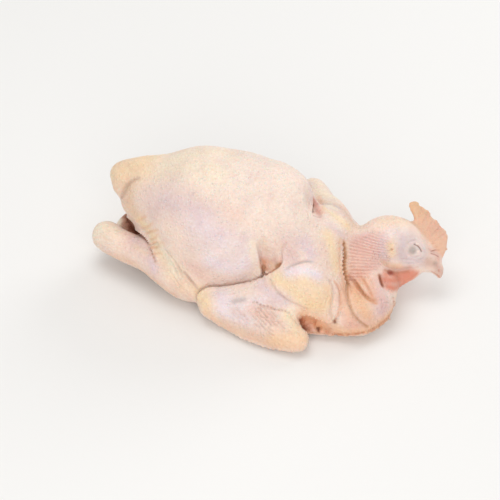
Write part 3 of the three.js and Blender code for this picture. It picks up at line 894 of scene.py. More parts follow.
# %% Where the edges run
WING_EDGE = (
    (200, 309), (206, 315), (212, 320), (220, 326), (228, 331), (238, 336), (248, 340),
    (258, 344), (268, 347.5), (278, 349.5), (290, 350.5), (300, 349.5), (306, 343),
)
FRILL = 3.4  # millimetres between the bumps along the lobe's edge
LOBE_EDGE = (
    (393, 297), (394, 303), (393.5, 308), (391.5, 312.5), (388, 317.5), (382.5, 322.5), (376, 327.5),
    (368, 331.5), (360, 333.5), (350, 334.5), (340, 334.5), (332, 333.5), (326, 331.5),
)
TORN_EDGE = (
    (299.5, 318.5), (303, 315.5), (308, 314.5), (313, 316), (318, 319), (323, 321), (327, 321.5),
    (330, 326),
)
TORN_BOTTOM = ((309, 329), (313, 331), (322, 330.5), (327, 333.5), (333, 334.5))
INNER_LOBE = [(x - 3, y - 3) for x, y in LOBE_EDGE[2:12]]  # a second row inside the edge
LOW_RIM = (
    # the lower half of the near wing: where in the picture, how far around it in millimetres
    ((240, 322), 20),
    ((270, 330), 20),
    ((296, 336), 16),
)
LOBE = ((378, 318), 22)
print("bumps for", len(LOW_RIM), "places on the wing and one on the neck")

# %% Raise bumps along the edges
beads(drawn(WING_EDGE), spacing=4.4, size=1.5, height=0.8, seed=21)
beads(drawn(LOBE_EDGE), spacing=FRILL, size=1.4, height=1.5, seed=22)
beads(drawn(INNER_LOBE), spacing=3.6, size=1.3, height=0.8, seed=23)
puckers(drawn(LOBE_EDGE), spacing=FRILL, height=0.7, reach=3.0)
beads(drawn(TORN_EDGE), spacing=3.2, size=1.4, height=1.5, seed=24)
beads(drawn(TORN_BOTTOM), spacing=3.6, size=1.7, height=1.5, seed=25)
print("the tallest bump stands", move.max().round(1), "mm high")

# %% Raise bumps beside them
low_rim = np.zeros(len(at), bool)
for pixel, radius in LOW_RIM:
    low_rim |= away_from(on_skin(pixel)) < radius
lobe = away_from(on_skin(LOBE[0])) < LOBE[1]
wing_bumps = bumps_over(low_rim, spacing=3.2, size=0.9, height=0.4, seed=31)
lobe_bumps = bumps_over(lobe, spacing=2.9, size=0.9, height=0.4, seed=32)
settle()
print("raised", wing_bumps, "bumps on the wing and", lobe_bumps, "on the neck's lobe")

# %% [markdown]
# ## The head
#
# The head is a small portrait of its own: a closed eye behind two lids, an oval ear patch, a jaw
# line over the mouth, a beak in two halves and a wattle. The cheek that shows is drawn as the
# folds were, and its lines are reflected through the middle of the head on to the other cheek.

# %% Draw on both cheeks


def other_cheek(line):
    """The same line on the head's other side."""
    out = (line - HEAD_AT) @ HEAD_RIGHT
    other = line - 2 * out[:, None] * HEAD_RIGHT
    return np.array([tree.find_nearest(Vector(p))[0][:] for p in other])


def both_cheeks(pixels):
    line = drawn(pixels)
    return line, other_cheek(line)


print("the head is", at[near_head(at) > 0.9, 2].max().round(1), "mm high")

# %% Where the eyes, ears, jaw, mouth, beak and comb are
EYE = ((411.5, 250), (412.5, 250))
LID_SLIT = ((414.3, 244.3), (417.3, 245.8), (420, 248.6), (421.3, 251.3))
LID_UPPER = ((407, 246), (410, 242), (415, 240.5), (421, 243.5), (425, 249))
LID_LOWER = ((408, 254.5), (412, 257), (418, 256.5), (423, 253))
EAR = ((391, 249.5), (392, 249.5))
EAR_RIM = (
    (391.5, 242), (387.2, 244.5), (385.6, 249.5), (387, 254.5), (391.5, 256.5), (396, 254), (397.6, 249),
    (396, 244), (391.5, 242),
)
JAW_RIDGE = ((384, 259), (389, 262.5), (396, 265.5), (404, 266.3), (412, 265), (420, 263))
JAW_LINE = (
    (383.5, 263.5), (389, 266.8), (396, 269.4), (404, 270.4), (412, 269), (419, 267), (426, 267.3),
)
MOUTH_CORNER = ((390, 272.6), (391.5, 272.8))
WATTLE = ((388, 283), (396, 282), (404, 279))
WATTLE_CREASE = ((379.3, 275.5), (380.6, 280.5), (382.7, 286.5))
BEAK_LINE = ((431, 271), (435, 273.2), (438.5, 276), (441.5, 279.5))
NOSTRIL = ((434, 263.3), (436, 263.8))
CERE_LINES = (
    ((429.5, 250.5), (433, 249), (437.5, 248.7)),
    ((430, 253.5), (434, 254), (438.5, 256)),
    ((429, 245), (433, 244.5), (437, 242.5)),
)
COMB_VALLEYS = (
    ((446, 233), (440, 237), (433, 242)),
    ((443, 224), (437, 230), (431, 237)),
    ((437, 216), (432, 223), (427, 231)),
    ((430, 209.5), (426, 217), (422, 226)),
    ((423, 205.5), (420, 213), (418, 222)),
)
CHEEK_LINES = (
    ((399, 258.5), (406, 259.5), (413, 259)),
    ((417, 258.5), (422, 259), (426, 257)),
    ((401, 262.5), (410, 263.5), (420, 262)),
)
print(len(COMB_VALLEYS), "valleys in the comb and", len(CHEEK_LINES), "lines on each cheek")

# %% Model the eyes and the ears
for line in both_cheeks(EYE):
    swell(line[0], size=3.6, height=1.5)  # a round thing stands at its line's first point
for line in both_cheeks(LID_SLIT):
    groove(line, width=0.65, depth=0.9, lip=0.4, ends=(0.3, 0.3))
for pixels in (LID_UPPER, LID_LOWER):
    for line in both_cheeks(pixels):
        groove(line, width=0.8, depth=0.5, lip=0.3, ends=(0.4, 0.4))
for line in both_cheeks(EAR_RIM):
    groove(line, width=0.8, depth=-0.5, ends=(0.01, 0.01))
for line in both_cheeks(EAR):
    swell(line[0], size=1.0, height=-0.9)
print("made the eyes and the ears")

# %% Model the jaw, the wattles, the beak and the comb
for line in both_cheeks(JAW_RIDGE):
    groove(line, width=1.6, depth=-0.7, ends=(0.3, 0.4))
for line in both_cheeks(JAW_LINE):
    groove(line, width=1.1, depth=0.7, lip=0.2, ends=(0.4, 0.4))
for line in both_cheeks(MOUTH_CORNER):
    swell(line[0], size=2.6, height=-2.2)
for line in both_cheeks(WATTLE):
    groove(line, width=5.0, depth=-1.2, ends=(0.2, 0.3))
for line in both_cheeks(WATTLE_CREASE):
    groove(line, width=1.1, depth=2.0, lip=0.4, ends=(0.3, 0.3))
for line in both_cheeks(BEAK_LINE):
    groove(line, width=0.6, depth=0.7, lip=0.25, ends=(0.3, 0.1))
for line in both_cheeks(NOSTRIL):
    groove(line, width=0.8, depth=0.4, lip=0.2, ends=(0.3, 0.3))
for pixels in CERE_LINES + CHEEK_LINES:
    for line in both_cheeks(pixels):
        groove(line, width=0.7, depth=0.4, lip=0.3, ends=(0.4, 0.4))
for pixels in COMB_VALLEYS:
    for line in both_cheeks(pixels):
        groove(line, width=0.8, depth=0.45, lip=0.2, ends=(0.1, 0.6))
settle()
print("made the face")

# %% [markdown]
# ## The colours
#
# Raw chicken skin is never one colour. Fat under the skin shows yellow, muscle shows pink or
# lilac, and the creases glow orange where light scatters from wall to wall. The colours are
# painted on the points with soft strokes, and so are painted shade in the creases and hollows,
# painted warm bounce light along the lower edges and a few painted highlights. The shader adds
# what is finer than the points.

# %% A palette


def linear(code):
    """A colour written as six hex digits, as linear light."""
    value = np.array([int(code[i:i + 2], 16) for i in (0, 2, 4)]) / 255
    return np.where(value < 0.04045, value / 12.92, ((value + 0.055) / 1.055) ** 2.4)


# taupe, umber, rust, brown, orange, grey and warm_shade serve mostly as painted shade in creases and
# hollows; peach also serves as painted warm bounce light along lower edges
PALETTE = {
    "skin": "efd8ca",
    "cream": "f2e1d4",
    "ivory": "f4e4ce",
    "tail_fat": "f2d6b2",
    "fat": "f5dbb4",
    "deep_fat": "f1cca2",
    "warm_shade": "e0c1a6",
    "grey_rose": "e5cec6",
    "lilac": "dfcace",
    "pale_lilac": "ede0e4",
    "grey": "c9bbb9",
    "pink": "e9c2b4",
    "rose": "dbaa9c",
    "peach": "ebbf9b",
    "orange": "de9b70",
    "rust": "b96a42",
    "brown": "7d4327",
    "taupe": "bf9d8c",
    "umber": "b8875f",
    "face": "d8c7c6",
    "eye": "a49a95",
    "comb": "e2b496",
    "comb_tip": "dfb78f",
    "wattle": "dc8d74",
    "mouth": "93402c",
    "beak": "d3ae9d",
    "nostril": "b39c90",
}
COLOUR = {name: linear(code) for name, code in PALETTE.items()}
print("mixed", len(COLOUR), "colours")

# %% Soft brushes
tint = np.tile(COLOUR["skin"], (len(at), 1))


def paint(colour, weight):
    """Blends a colour over the skin where the weight is high."""
    global tint
    weight = np.clip(weight, 0, 1)[:, None]
    tint = tint * (1 - weight) + COLOUR[colour] * weight


def near_line(line, width):
    weight = np.zeros(len(at))
    index, away, _, _ = against(line, 3 * width)
    weight[index] = bell(away, width)
    return weight


def dashes(colour, line, width, spacing, strength):
    """A stroke of painted shade that is strongest between the puckers of a crease."""
    index, away, _, along = against(line, 3 * width)
    travelled = wandering(index, along, line, spacing)
    weight = np.zeros(len(at))
    weight[index] = bell(away, width) * (0.55 - 0.45 * np.cos(2 * math.pi * travelled / spacing))
    paint(colour, 1.3 * strength * weight)


def stroke(colour, pixels, width, strength, both=False):
    """A soft stroke along a line of pixels. With `both`, the body's other side gets it too."""
    line = drawn(pixels) if len(pixels) > 1 else np.array([on_skin(pixels[0])] * 2)
    paint(colour, strength * near_line(line, width))
    if both:
        paint(colour, strength * near_line(mirrored(line), width))


def stroke_all(strokes):
    for each in strokes:
        stroke(*each)


print("primed", len(tint), "points with the skin's own colour")

# %% Where the body's colours lie
BODY_STROKES = (
    # colour, line in the picture, width in millimetres, strength, on both sides
    ("cream", ((190, 165), (230, 165), (270, 185), (295, 205)), 26, 0.8, True),
    ("cream", ((215, 185), (245, 195), (262, 215)), 18, 0.6, True),
    ("tail_fat", ((108, 174), (125, 170), (150, 165)), 15, 0.95, True),
    ("tail_fat", ((150, 163), (180, 165)), 12, 0.4, True),
    ("ivory", ((165, 166), (190, 166), (215, 172)), 14, 0.9, True),
    ("grey_rose", ((150, 202), (172, 205), (195, 219), (200, 238)), 15, 0.75, True),
    ("lilac", ((165, 197), (190, 209), (205, 220), (220, 235)), 10, 0.45, True),
    ("pale_lilac", ((200, 225), (215, 240), (240, 245)), 13, 0.5, True),
    ("pale_lilac", ((212, 262), (235, 268), (248, 262)), 11, 0.85, True),
    ("warm_shade", ((128, 188), (129, 205), (140, 220)), 9, 0.9, True),
    ("fat", ((140, 222), (150, 232), (156, 246)), 6, 0.7, True),
    ("ivory", ((150, 236), (156, 244), (160, 254)), 3.5, 0.6, True),
    ("fat", ((155, 238), (160, 252), (170, 268), (182, 288)), 8, 0.6, True),
    ("ivory", ((160, 246), (170, 260), (178, 274)), 7, 1.0, True),
    ("pink", ((196, 268), (204, 278), (212, 284)), 8, 0.5, True),
    ("warm_shade", ((180, 270), (189, 281), (196, 291)), 3.5, 0.4, True),
    ("ivory", ((97, 229), (106, 231)), 14, 1.0, True),
    ("pink", ((128, 240), (143, 250), (152, 262)), 8, 0.4, True),
    ("lilac", ((134, 240), (145, 252), (154, 268)), 6, 0.55, True),
    ("fat", ((136, 246), (146, 254)), 3, 0.4, True),
    ("lilac", ((151, 260), (154, 270)), 3, 0.7, True),
    ("ivory", ((253, 243), (254, 258), (258, 270)), 4, 0.6, True),
    # painted warm bounce light along the lower edge of the leg
    ("peach", ((105, 254), (130, 262), (150, 277), (175, 296)), 4, 0.5, True),
    ("pink", ((175, 284), (190, 297)), 6, 0.4, True),
    ("pink", ((228, 208), (238, 216)), 7, 0.3, True),
    # painted shade on the body's low edge above the near wing
    ("grey_rose", ((205, 283), (225, 281), (248, 276)), 4, 0.6, True),
)
FOLD_SHADES = (
    # thin strokes at the bottom of the creases: colour, line, width, strength
    ("taupe", KNEE_FOLDS[0][0], 1.2, 0.3),
    ("taupe", KNEE_FOLDS[2][0], 1.2, 0.55),
    ("taupe", WING_TOP, 1.4, 0.6),
    ("rust", WING_TOP[8:], 0.7, 0.3),
    ("grey", SHOULDER_LINE, 1.3, 0.7),
    ("taupe", PATAGIUM_EDGE, 1.2, 0.3),
    ("taupe", TAIL_CREASE, 1.4, 0.6),
    ("orange", FRONT_FOLD, 0.9, 0.5),
    ("taupe", FRONT_FOLD_INNER, 0.9, 0.35),
)
print(len(BODY_STROKES), "strokes for the body and", len(FOLD_SHADES), "for the creases")

# %% Paint the body
stroke_all(BODY_STROKES)
# painted shade: umber dashes in the thigh's fold, and warm peach along the grooves of the ruffles
dashes("umber", drawn(THIGH_FOLD[6:]), width=1.1, spacing=RUFFLE_SPACING, strength=0.55)
for pixels in RUFFLES:
    stroke("peach", pixels, 1.2, 0.6, True)
print("painted the body")

# %% [markdown]
# ## Gaps and hollows
#
# Light hardly reaches the gap between leg and body, the armpit and the pocket of the far wing. What
# does come back has passed through skin and fat, so these places glow brown and salmon, where grey
# would look like plaster. Each gets a wide warm stroke first and a thin dark one last.

# %% Paint the far leg and the deep gap beside it
HOCK_SHADE = ((122, 221), (127, 225), (131, 229))
HOCK = ((117.5, 223), (120, 217.5), (123, 215))
GAP = ((127, 218), (130, 224), (135, 230), (142, 235), (147, 239))
GAP_END = ((135, 233.5), (141, 236), (146, 239.5), (148.5, 242.5))
BEHIND_LEG = -19.0  # millimetres: skin further left than this lies behind the near leg

behind = np.clip((at[:, 1] - BEHIND_LEG) / 4, 0, 1)
stroke("warm_shade", HOCK_SHADE, 4.0, 0.5)
# painted shade: rust and brown in the deep gap behind the near leg
paint("rust", 0.8 * behind * near_line(drawn(GAP), 7))
paint("brown", 0.95 * behind * near_line(drawn(GAP), 5))
# the far leg's end in its own pale colour, painted on at full strength as painted light where it lies in
# shade
paint("ivory", behind * near_line(drawn(HOCK), 3.5))
# painted shade in the gap's narrow end
stroke("brown", GAP_END, 1.6, 0.9)
print("painted the gap:", int(behind.sum()), "points lie behind the leg")

# %% The near wing's colours
NEAR_WING = (
    # colour, line in the picture, width in millimetres, strength
    ("cream", ((214, 292), (235, 290), (262, 281)), 5, 0.6),
    ("fat", ((199, 296), (206, 303)), 9, 0.9),
    ("pale_lilac", ((222, 296), (226, 312), (245, 320)), 8, 0.9),
    ("pale_lilac", ((228, 304), (245, 304), (262, 300)), 6, 0.7),
    ("grey_rose", ((232, 310), (246, 320), (262, 330)), 5, 0.5),
    # painted shade in the hollow between the forearm's bones
    ("grey", ((234, 301.5), (244, 299.5)), 2.4, 0.9),
    ("lilac", ((262, 286), (272, 292), (284, 302)), 6.5, 0.8),
    ("pink", ((252, 310), (264, 314), (276, 322)), 6, 0.6),
    # painted warm bounce light along the wing's lower edge
    ("peach", ((206, 313), (226, 327), (250, 337), (275, 345), (300, 347)), 4.5, 0.6),
    ("warm_shade", ((222, 320), (250, 332), (275, 341)), 4, 0.5),
    ("ivory", ((288, 314), (293, 321), (295, 328)), 6, 0.9),
    ("fat", ((288, 316), (293, 321), (295, 327)), 5, 0.5),
    ("deep_fat", ((275, 340), (290, 338), (303, 338)), 8, 0.7),
)
print(len(NEAR_WING), "strokes for the near wing")

# %% The shoulders' colours, with the skin in front of the wing
SHOULDERS = (
    # colour, line in the picture, width in millimetres, strength
    ("fat", ((277, 279), (290, 287), (300, 296), (310, 304)), 7, 0.85),
    ("fat", ((305, 282), (315, 290), (320, 302)), 9, 0.8),
    ("deep_fat", ((312, 304), (322, 308)), 7, 0.6),
    ("pale_lilac", ((288, 271), (304, 270), (317, 275)), 5, 0.95),
    ("pink", ((284, 247), (290, 258)), 7, 0.5),
    ("lilac", ((287, 256), (294, 260)), 6, 0.35),
    ("grey_rose", ((284, 235), (300, 242)), 9, 0.6),
    ("lilac", ((305, 242), (309, 250), (311, 256)), 5.5, 0.85),
    ("lilac", ((330, 226), (337, 230), (343, 236)), 3.5, 0.6),
    ("grey_rose", ((318, 222), (330, 226)), 6, 0.4),
    ("cream", ((336, 222), (346, 232), (350, 238)), 5, 0.5),
    ("fat", ((328, 235), (333, 250), (336, 268)), 6, 0.75),
    ("deep_fat", ((327, 288), (330, 300)), 4, 0.6),
    ("pink", ((343, 290), (345, 305), (350, 322)), 5.5, 0.8),
)
print(len(SHOULDERS), "for the shoulders")

# %% The armpit's colours
ARMPIT_SHADES = (
    # colour, line in the picture, width in millimetres, strength
    ("warm_shade", ((263, 242), (266, 251)), 4, 0.5),
    ("rose", ((266, 258), (272, 262), (277, 259)), 4.0, 0.5),
    ("peach", ((271, 264), (272, 269)), 2.6, 0.6),
    ("orange", ((264, 261), (266, 269)), 3.4, 0.7),
    ("umber", ((263, 266), (264, 272)), 1.8, 0.7),
    ("umber", ((276.5, 266.5), (279.5, 264)), 2.2, 0.85),
    ("rust", ((281, 261), (279.3, 266), (274, 270.3), (266, 274.7)), 0.8, 0.35),
    ("brown", ((261.8, 267), (262.3, 271), (262.8, 276)), 1.1, 0.85),
)
print(len(ARMPIT_SHADES), "for the armpit")

# %% The far wing's colours and its pocket's
FAR_WING = (
    # colour, line in the picture, width in millimetres, strength
    ("ivory", ((318, 184), (328, 198), (340, 210)), 7, 1.0),
    ("fat", ((326, 209), (335, 216), (348, 226)), 5, 0.8),
    ("warm_shade", ((340, 207), (348, 216), (355, 226)), 5.5, 0.75),
    # painted shade in a grey band over the far wing's crease
    ("grey_rose", ((333, 200), (337, 205), (341, 211)), 3.5, 0.6),
    ("ivory", ((311, 180), (318, 182), (325, 190)), 4.5, 0.6),
    ("lilac", ((309, 183), (311, 192), (312, 198)), 3.5, 0.5),
    # the pocket's floor: its own pink, deepened as painted warm shade
    ("rose", ((316, 203), (318.3, 209), (319, 214)), 3.4, 0.95),
    ("rose", ((310, 200), (309, 208)), 2.6, 0.3),
    ("rose", ((315, 200), (317, 207), (317, 213)), 3.0, 0.95),
    ("peach", ((318.5, 197), (322.5, 205), (323.5, 212)), 2.0, 0.5),
    # painted shade: the slit's dark line and the shadow under its rim
    ("brown", ((313.3, 204), (313, 208.5), (312.8, 213)), 0.9, 0.9),
    ("rust", ((313, 198), (313.6, 204)), 0.9, 0.6),
    ("taupe", ((313.5, 215.5), (317, 217.3), (320.5, 217)), 0.9, 0.8),
)
print(len(FAR_WING), "for the far wing")

# %% The torn edge's colours
TORN_SHADES = (
    # colour, line in the picture, width in millimetres, strength
    ("peach", ((303, 314), (322, 322), (340, 331)), 5.5, 0.8),
    ("orange", ((303, 320), (311, 321), (320, 326)), 4.5, 0.85),
    ("orange", ((317, 327), (324, 329), (329, 330)), 3.2, 0.7),
    ("umber", ((317, 327), (324, 329), (329, 330)), 2.4, 0.35),
    ("rust", ((302, 320), (304, 325), (309, 329)), 3.4, 0.8),
    ("brown", ((300, 321), (302, 326), (306, 330)), 2.4, 0.9),
    ("orange", ((308, 332), (318, 333), (328, 334)), 2.2, 0.7),
    ("brown", ((318, 327.5), (318.7, 331)), 1.5, 0.9),
    ("brown", ((334.3, 320.5), (335, 322.5)), 1.3, 0.8),
)
print(len(TORN_SHADES), "for the torn edge")

# %% Paint the wings and the pockets
HATCH_SHADE = 0.6

for strokes in (NEAR_WING, SHOULDERS, ARMPIT_SHADES, FAR_WING, TORN_SHADES):
    stroke_all(strokes)
# painted shade in the forearm's wrinkles, along their border and in the torn edge's notches
for pixels, depth in wrinkles:
    stroke("taupe", pixels, 0.8, HATCH_SHADE * depth)
dashes("taupe", drawn(HATCH_BORDER), width=1.0, spacing=HATCH_STITCH, strength=0.5)
for pixels in TORN_NOTCHES:
    stroke("brown", (pixels,), 1.3, 0.7)
print("painted the wings")

# %% The neck's colours
NECK_STROKES = (
    # colour, line in the picture, width in millimetres, strength
    ("rose", ((356, 242), (362, 254), (362, 268)), 9, 0.6),
    ("rose", ((372, 252), (374, 266)), 6, 0.5),
    ("lilac", ((368, 238), (377, 248), (380, 260)), 6, 0.7),
    ("peach", ((352, 272), (362, 282), (372, 292)), 6, 0.35),
    ("peach", ((353, 290), (358, 304), (366, 316)), 7, 0.9),
    ("rose", ((376, 284), (378, 296), (382, 304), (384, 316)), 6.5, 0.5),
    ("lilac", ((379, 288), (384, 299), (383, 312)), 6.5, 0.5),
    ("rose", ((383, 300), (386, 310)), 5, 0.3),
    ("pink", ((364, 274), (370, 282), (374, 290)), 5, 0.8),
    ("peach", ((360, 276), (367, 282), (372, 292)), 4.5, 0.35),
    ("peach", ((343, 290), (346, 305), (352, 324)), 6, 0.55),
    ("peach", ((362, 300), (368, 315)), 5, 0.6),
    # painted warm bounce light under the lobe
    ("orange", ((350, 329), (366, 327), (380, 321)), 4, 0.3),
    ("rose", ((350, 326), (366, 326)), 6, 0.7),
    # painted warm bounce light and shade along the lobe's lower edge
    ("peach", ((336, 333), (362, 332), (380, 324), (394, 308)), 5, 0.8),
    ("orange", ((336, 334), (362, 333), (380, 325), (394, 309)), 2.6, 0.4),
    # painted warm shade in the neck's crease and in its folds
    ("peach", ((340, 240), (339, 256), (341, 272), (345, 288)), 2.6, 0.6),
    ("peach", NECK_CREASE, 3.4, 0.6),
    ("umber", NECK_CREASE, 1.7, 0.9),
    ("umber", LOBE_FOLD, 1.2, 0.8),
    ("orange", NECK_FOLDS[0][0], 3.0, 0.6),
    ("umber", NECK_FOLDS[0][0], 1.8, 0.45),
    ("orange", NECK_FOLDS[1][0], 1.4, 0.5),
    ("orange", NECK_FOLDS[3][0], 0.9, 0.6),
)
print(len(NECK_STROKES), "strokes for the neck")

# %% Paint the neck, and then the creases of the whole bird
RIB_SHADE = 0.75

stroke_all(NECK_STROKES)
# painted shade in the rib grooves (rose) and painted light on their crests (pink)
paint("rose", RIB_SHADE * ribbed * (1 - rib_wave) / 2)
paint("pink", RIB_SHADE * ribbed * (1 + rib_wave) / 2)
# painted shade between the puckers of the neck's crease and of the lobe's edge
dashes("rust", neck_crease, width=1.3, spacing=STITCH, strength=0.6)
dashes("brown", neck_crease, width=0.9, spacing=STITCH, strength=0.4)
dashes("rust", drawn(LOBE_EDGE), width=1.4, spacing=FRILL, strength=0.6)
for colour, pixels, width, strength in FOLD_SHADES:
    stroke(colour, pixels, width, strength, True)
print("painted the neck")

# %% The head's colours
HEAD_SPOTS = (
    # colour, where in the picture, how wide in millimetres, strength
    ("eye", (412.5, 250.5), 3.6, 0.75),
    # painted highlights on the lids beside the eye
    ("cream", (418, 251.3), 1.1, 0.8),
    ("cream", (417, 244), 1.1, 0.8),
    # painted shade in the nostril
    ("nostril", (435, 263.5), 2.2, 0.5),
)
HEAD_STROKES = (
    # colour, line in the picture, width in millimetres, strength
    ("tail_fat", ((384, 221), (394, 219.5), (404, 222)), 7, 0.4),
    ("lilac", ((383, 236), (384, 246), (384, 254)), 4.5, 0.6),
    ("pale_lilac", ((392, 233), (405, 232)), 5, 0.4),
    ("face", ((403, 242), (401, 253), (408, 260), (420, 260)), 6.5, 0.95),
    ("face", ((412, 240), (423, 248)), 6, 0.8),
    ("fat", ((390.5, 246), (392.5, 253)), 3.6, 0.8),
    # painted shade in the ear's opening and in the slit between the lids
    ("rust", EAR, 0.8, 0.8),
    ("brown", LID_SLIT, 0.6, 0.8),
    ("wattle", ((386, 274), (397, 275), (412, 272.5)), 3.2, 0.9),
    ("wattle", ((385, 280), (397, 280), (410, 276.5)), 4.5, 0.95),
    ("wattle", ((388, 287), (395, 288), (404, 283), (412, 277.5), (416, 274)), 3.2, 0.95),
    # painted shade under the jaw's ridge and along the jaw line; the mouth corner is its own red,
    # darkened as painted shade in its hollow
    ("rust", ((384.5, 270), (390, 271.5), (398, 272.3), (408, 271.3)), 1.5, 0.6),
    ("mouth", MOUTH_CORNER, 2.6, 1.0),
    ("rose", ((386, 266.5), (397, 268.5), (410, 267.5)), 2.0, 0.8),
    ("taupe", ((393, 267), (400, 268), (408, 267.5)), 2.2, 0.4),
    # painted shade in the wattle's crease
    ("rust", WATTLE_CREASE, 1.7, 0.75),
    ("brown", WATTLE_CREASE, 0.9, 0.7),
    ("peach", ((382, 262), (390, 265.5), (400, 266)), 2.4, 0.6),
    ("beak", ((428, 262), (436, 266), (441, 274)), 4.5, 0.85),
    # painted shade in the line between the beak's halves
    ("rust", BEAK_LINE, 0.5, 0.6),
    ("rose", ((430, 250), (436, 254), (438, 258)), 3.5, 0.6),
    # painted shade in the creases of the cere
    ("mouth", ((431, 251.3), (435, 250), (439.5, 250)), 0.6, 0.7),
    ("mouth", ((431, 253.5), (435, 255), (438, 256.5)), 0.6, 0.6),
)
print(len(HEAD_SPOTS), "spots and", len(HEAD_STROKES), "strokes for each cheek")

# %% Paint the head, on both cheeks
for colour, pixels, width, strength in HEAD_STROKES:
    for line in both_cheeks(pixels):
        paint(colour, strength * near_line(line, width))
for colour, pixel, radius, strength in HEAD_SPOTS:
    for line in both_cheeks((pixel, pixel)):
        away = np.linalg.norm(at - line[0], axis=1)
        paint(colour, strength * fade(away, 0.4 * radius, 1.5 * radius))
print("painted the head")

# %% Paint the comb
forward, up, out = in_head(at).T
COMB_FRONT = 22.0  # millimetres in front of the skull's middle, where the comb meets the beak
COMB_SLOPE = 0.55  # how fast its foot rises from there towards the back
COMB_HALF_WIDTH = 6.0
COMB_TIP = (-6, 40)  # forward and up

above_foot = up - COMB_SLOPE * (COMB_FRONT - forward) - 1.0
comb_share = np.clip(above_foot / 4, 0, 1) * (np.abs(out) < COMB_HALF_WIDTH) * near_head(at)
paint("comb", 0.85 * comb_share)
paint("comb_tip", 0.8 * comb_share * fade(np.hypot(forward - COMB_TIP[0], up - COMB_TIP[1]), 5, 26))
# painted shade in the valleys of the comb
for pixels in COMB_VALLEYS:
    for line in both_cheeks(pixels):
        paint("rose", 0.2 * near_line(line, 0.9))
print("painted the comb:", int((comb_share > 0.5).sum()), "points")

# %% [markdown]
# ## The skin's shader
#
# The painted colour goes into a Principled shader with some light under the surface, which gives
# skin its soft shadows. Two sizes of noise break the colour up, small pale bumps stand where the
# feathers were with painted shade in the hollows between them, and a thin wet coat adds small
# highlights.

# %% Store the colours on the points
FACE_BACK = -12.0  # millimetres forward of the skull's middle, where the bare face begins
BARE_SMOOTHER = 0.75  # by how much follicles show less on the face and the comb


def store(name, kind, values):
    attribute = skin.data.attributes.new(name, kind, "POINT")
    key = "color" if kind == "FLOAT_COLOR" else "value"
    attribute.data.foreach_set(key, np.ascontiguousarray(values, dtype=np.float32).ravel())


smooth_skin = np.clip(near_head(at) * (forward > FACE_BACK), 0, 1)
pebbled = 1 - BARE_SMOOTHER * np.maximum(smooth_skin, comb_share)
store("tint", "FLOAT_COLOR", np.hstack([tint, np.ones((len(at), 1))]))
store("pebbled", "FLOAT", pebbled)
print("stored the colours")

# %% Small helpers for shader nodes


class Nodes:
    """Adds nodes to a material and links them, so that a shader reads like a recipe."""

    def __init__(self, name):
        self.material = bpy.data.materials.new(name)
        self.material.use_nodes = True
        self.tree = self.material.node_tree
        self.shader = self.tree.nodes["Principled BSDF"]

    def add(self, kind, inputs=None, **settings):
        node = self.tree.nodes.new("ShaderNode" + kind)
        for key, value in settings.items():
            setattr(node, key, value)
        for key, value in (inputs or {}).items():
            self.put(node.inputs[key], value)
        return node

    def put(self, socket, value):
        if isinstance(value, bpy.types.NodeSocket):
            self.tree.links.new(value, socket)
        else:
            socket.default_value = value

    def ramp(self, value, low, high, to_low=0.0, to_high=1.0):
        """Maps low..high of a value to to_low..to_high, smoothly."""
        node = self.add("MapRange", {"Value": value}, interpolation_type="SMOOTHSTEP")
        node.inputs["From Min"].default_value = low
        node.inputs["From Max"].default_value = high
        node.inputs["To Min"].default_value = to_low
        node.inputs["To Max"].default_value = to_high
        return node.outputs["Result"]

    def glaze(self, colour, by, share):
        """Multiplies a colour by another one, as far as the share says."""
        node = self.add("Mix", data_type="RGBA", blend_type="MULTIPLY")
        first, second = node.inputs[6], node.inputs[7]  # the node's two colour sockets
        self.put(node.inputs[0], share)
        self.put(first, colour)
        self.put(second, by)
        return node.outputs[2]

    def times(self, first, second):
        node = self.add("Math", operation="MULTIPLY")
        self.put(node.inputs[0], first)
        self.put(node.inputs[1], second)
        return node.outputs["Value"]


# %% The skin material
BLOTCH = 60  # noise scales are per metre, so this gives patches of about 15 mm
MOTTLE = 420
GRAIN = 1000
FOLLICLES = 340

skin_nodes = Nodes("raw_chicken_skin")
place = skin_nodes.add("TexCoord").outputs["Object"]
painted = skin_nodes.add("Attribute", attribute_name="tint").outputs["Color"]
pebble = skin_nodes.add("Attribute", attribute_name="pebbled").outputs["Fac"]


def noise(scale, detail):
    return skin_nodes.add("TexNoise", {"Vector": place, "Scale": scale, "Detail": detail}).outputs["Fac"]


blotch = noise(BLOTCH, 2.0)
mottle = noise(MOTTLE, 2.0)
grain = noise(GRAIN, 2.0)
follicles = {"Vector": place, "Scale": FOLLICLES, "Randomness": 0.8}
follicle = skin_nodes.add("TexVoronoi", follicles).outputs["Distance"]
print("laid out four patterns")

# %% Glaze the painted colour with them
PALE = (1.05, 1.05, 1.04, 1)  # fat close under the skin
VEILED = (0.95, 0.92, 0.94, 1)  # muscle that shows through it
# painted shade in the small hollows between the follicles, and the darker flecks of the mottle
PIT_SHADE_AND_DARK_MOTTLE = (0.94, 0.89, 0.86, 1)  # the small hollows between the follicles

ramp = skin_nodes.ramp
colour = skin_nodes.glaze(painted, VEILED, ramp(blotch, low=0.48, high=0.7))
colour = skin_nodes.glaze(colour, PALE, ramp(blotch, low=0.48, high=0.3, to_high=0.7))
colour = skin_nodes.glaze(colour, PIT_SHADE_AND_DARK_MOTTLE, ramp(mottle, low=0.5, high=0.75, to_high=0.8))
colour = skin_nodes.glaze(colour, PALE, ramp(mottle, low=0.48, high=0.3, to_high=0.5))
painted_pit_shade = skin_nodes.times(pebble, ramp(follicle, low=0.4, high=0.62, to_high=0.6))
colour = skin_nodes.glaze(colour, PIT_SHADE_AND_DARK_MOTTLE, painted_pit_shade)
skin_nodes.put(skin_nodes.shader.inputs["Base Color"], colour)
print("glazed the painted colour five times")

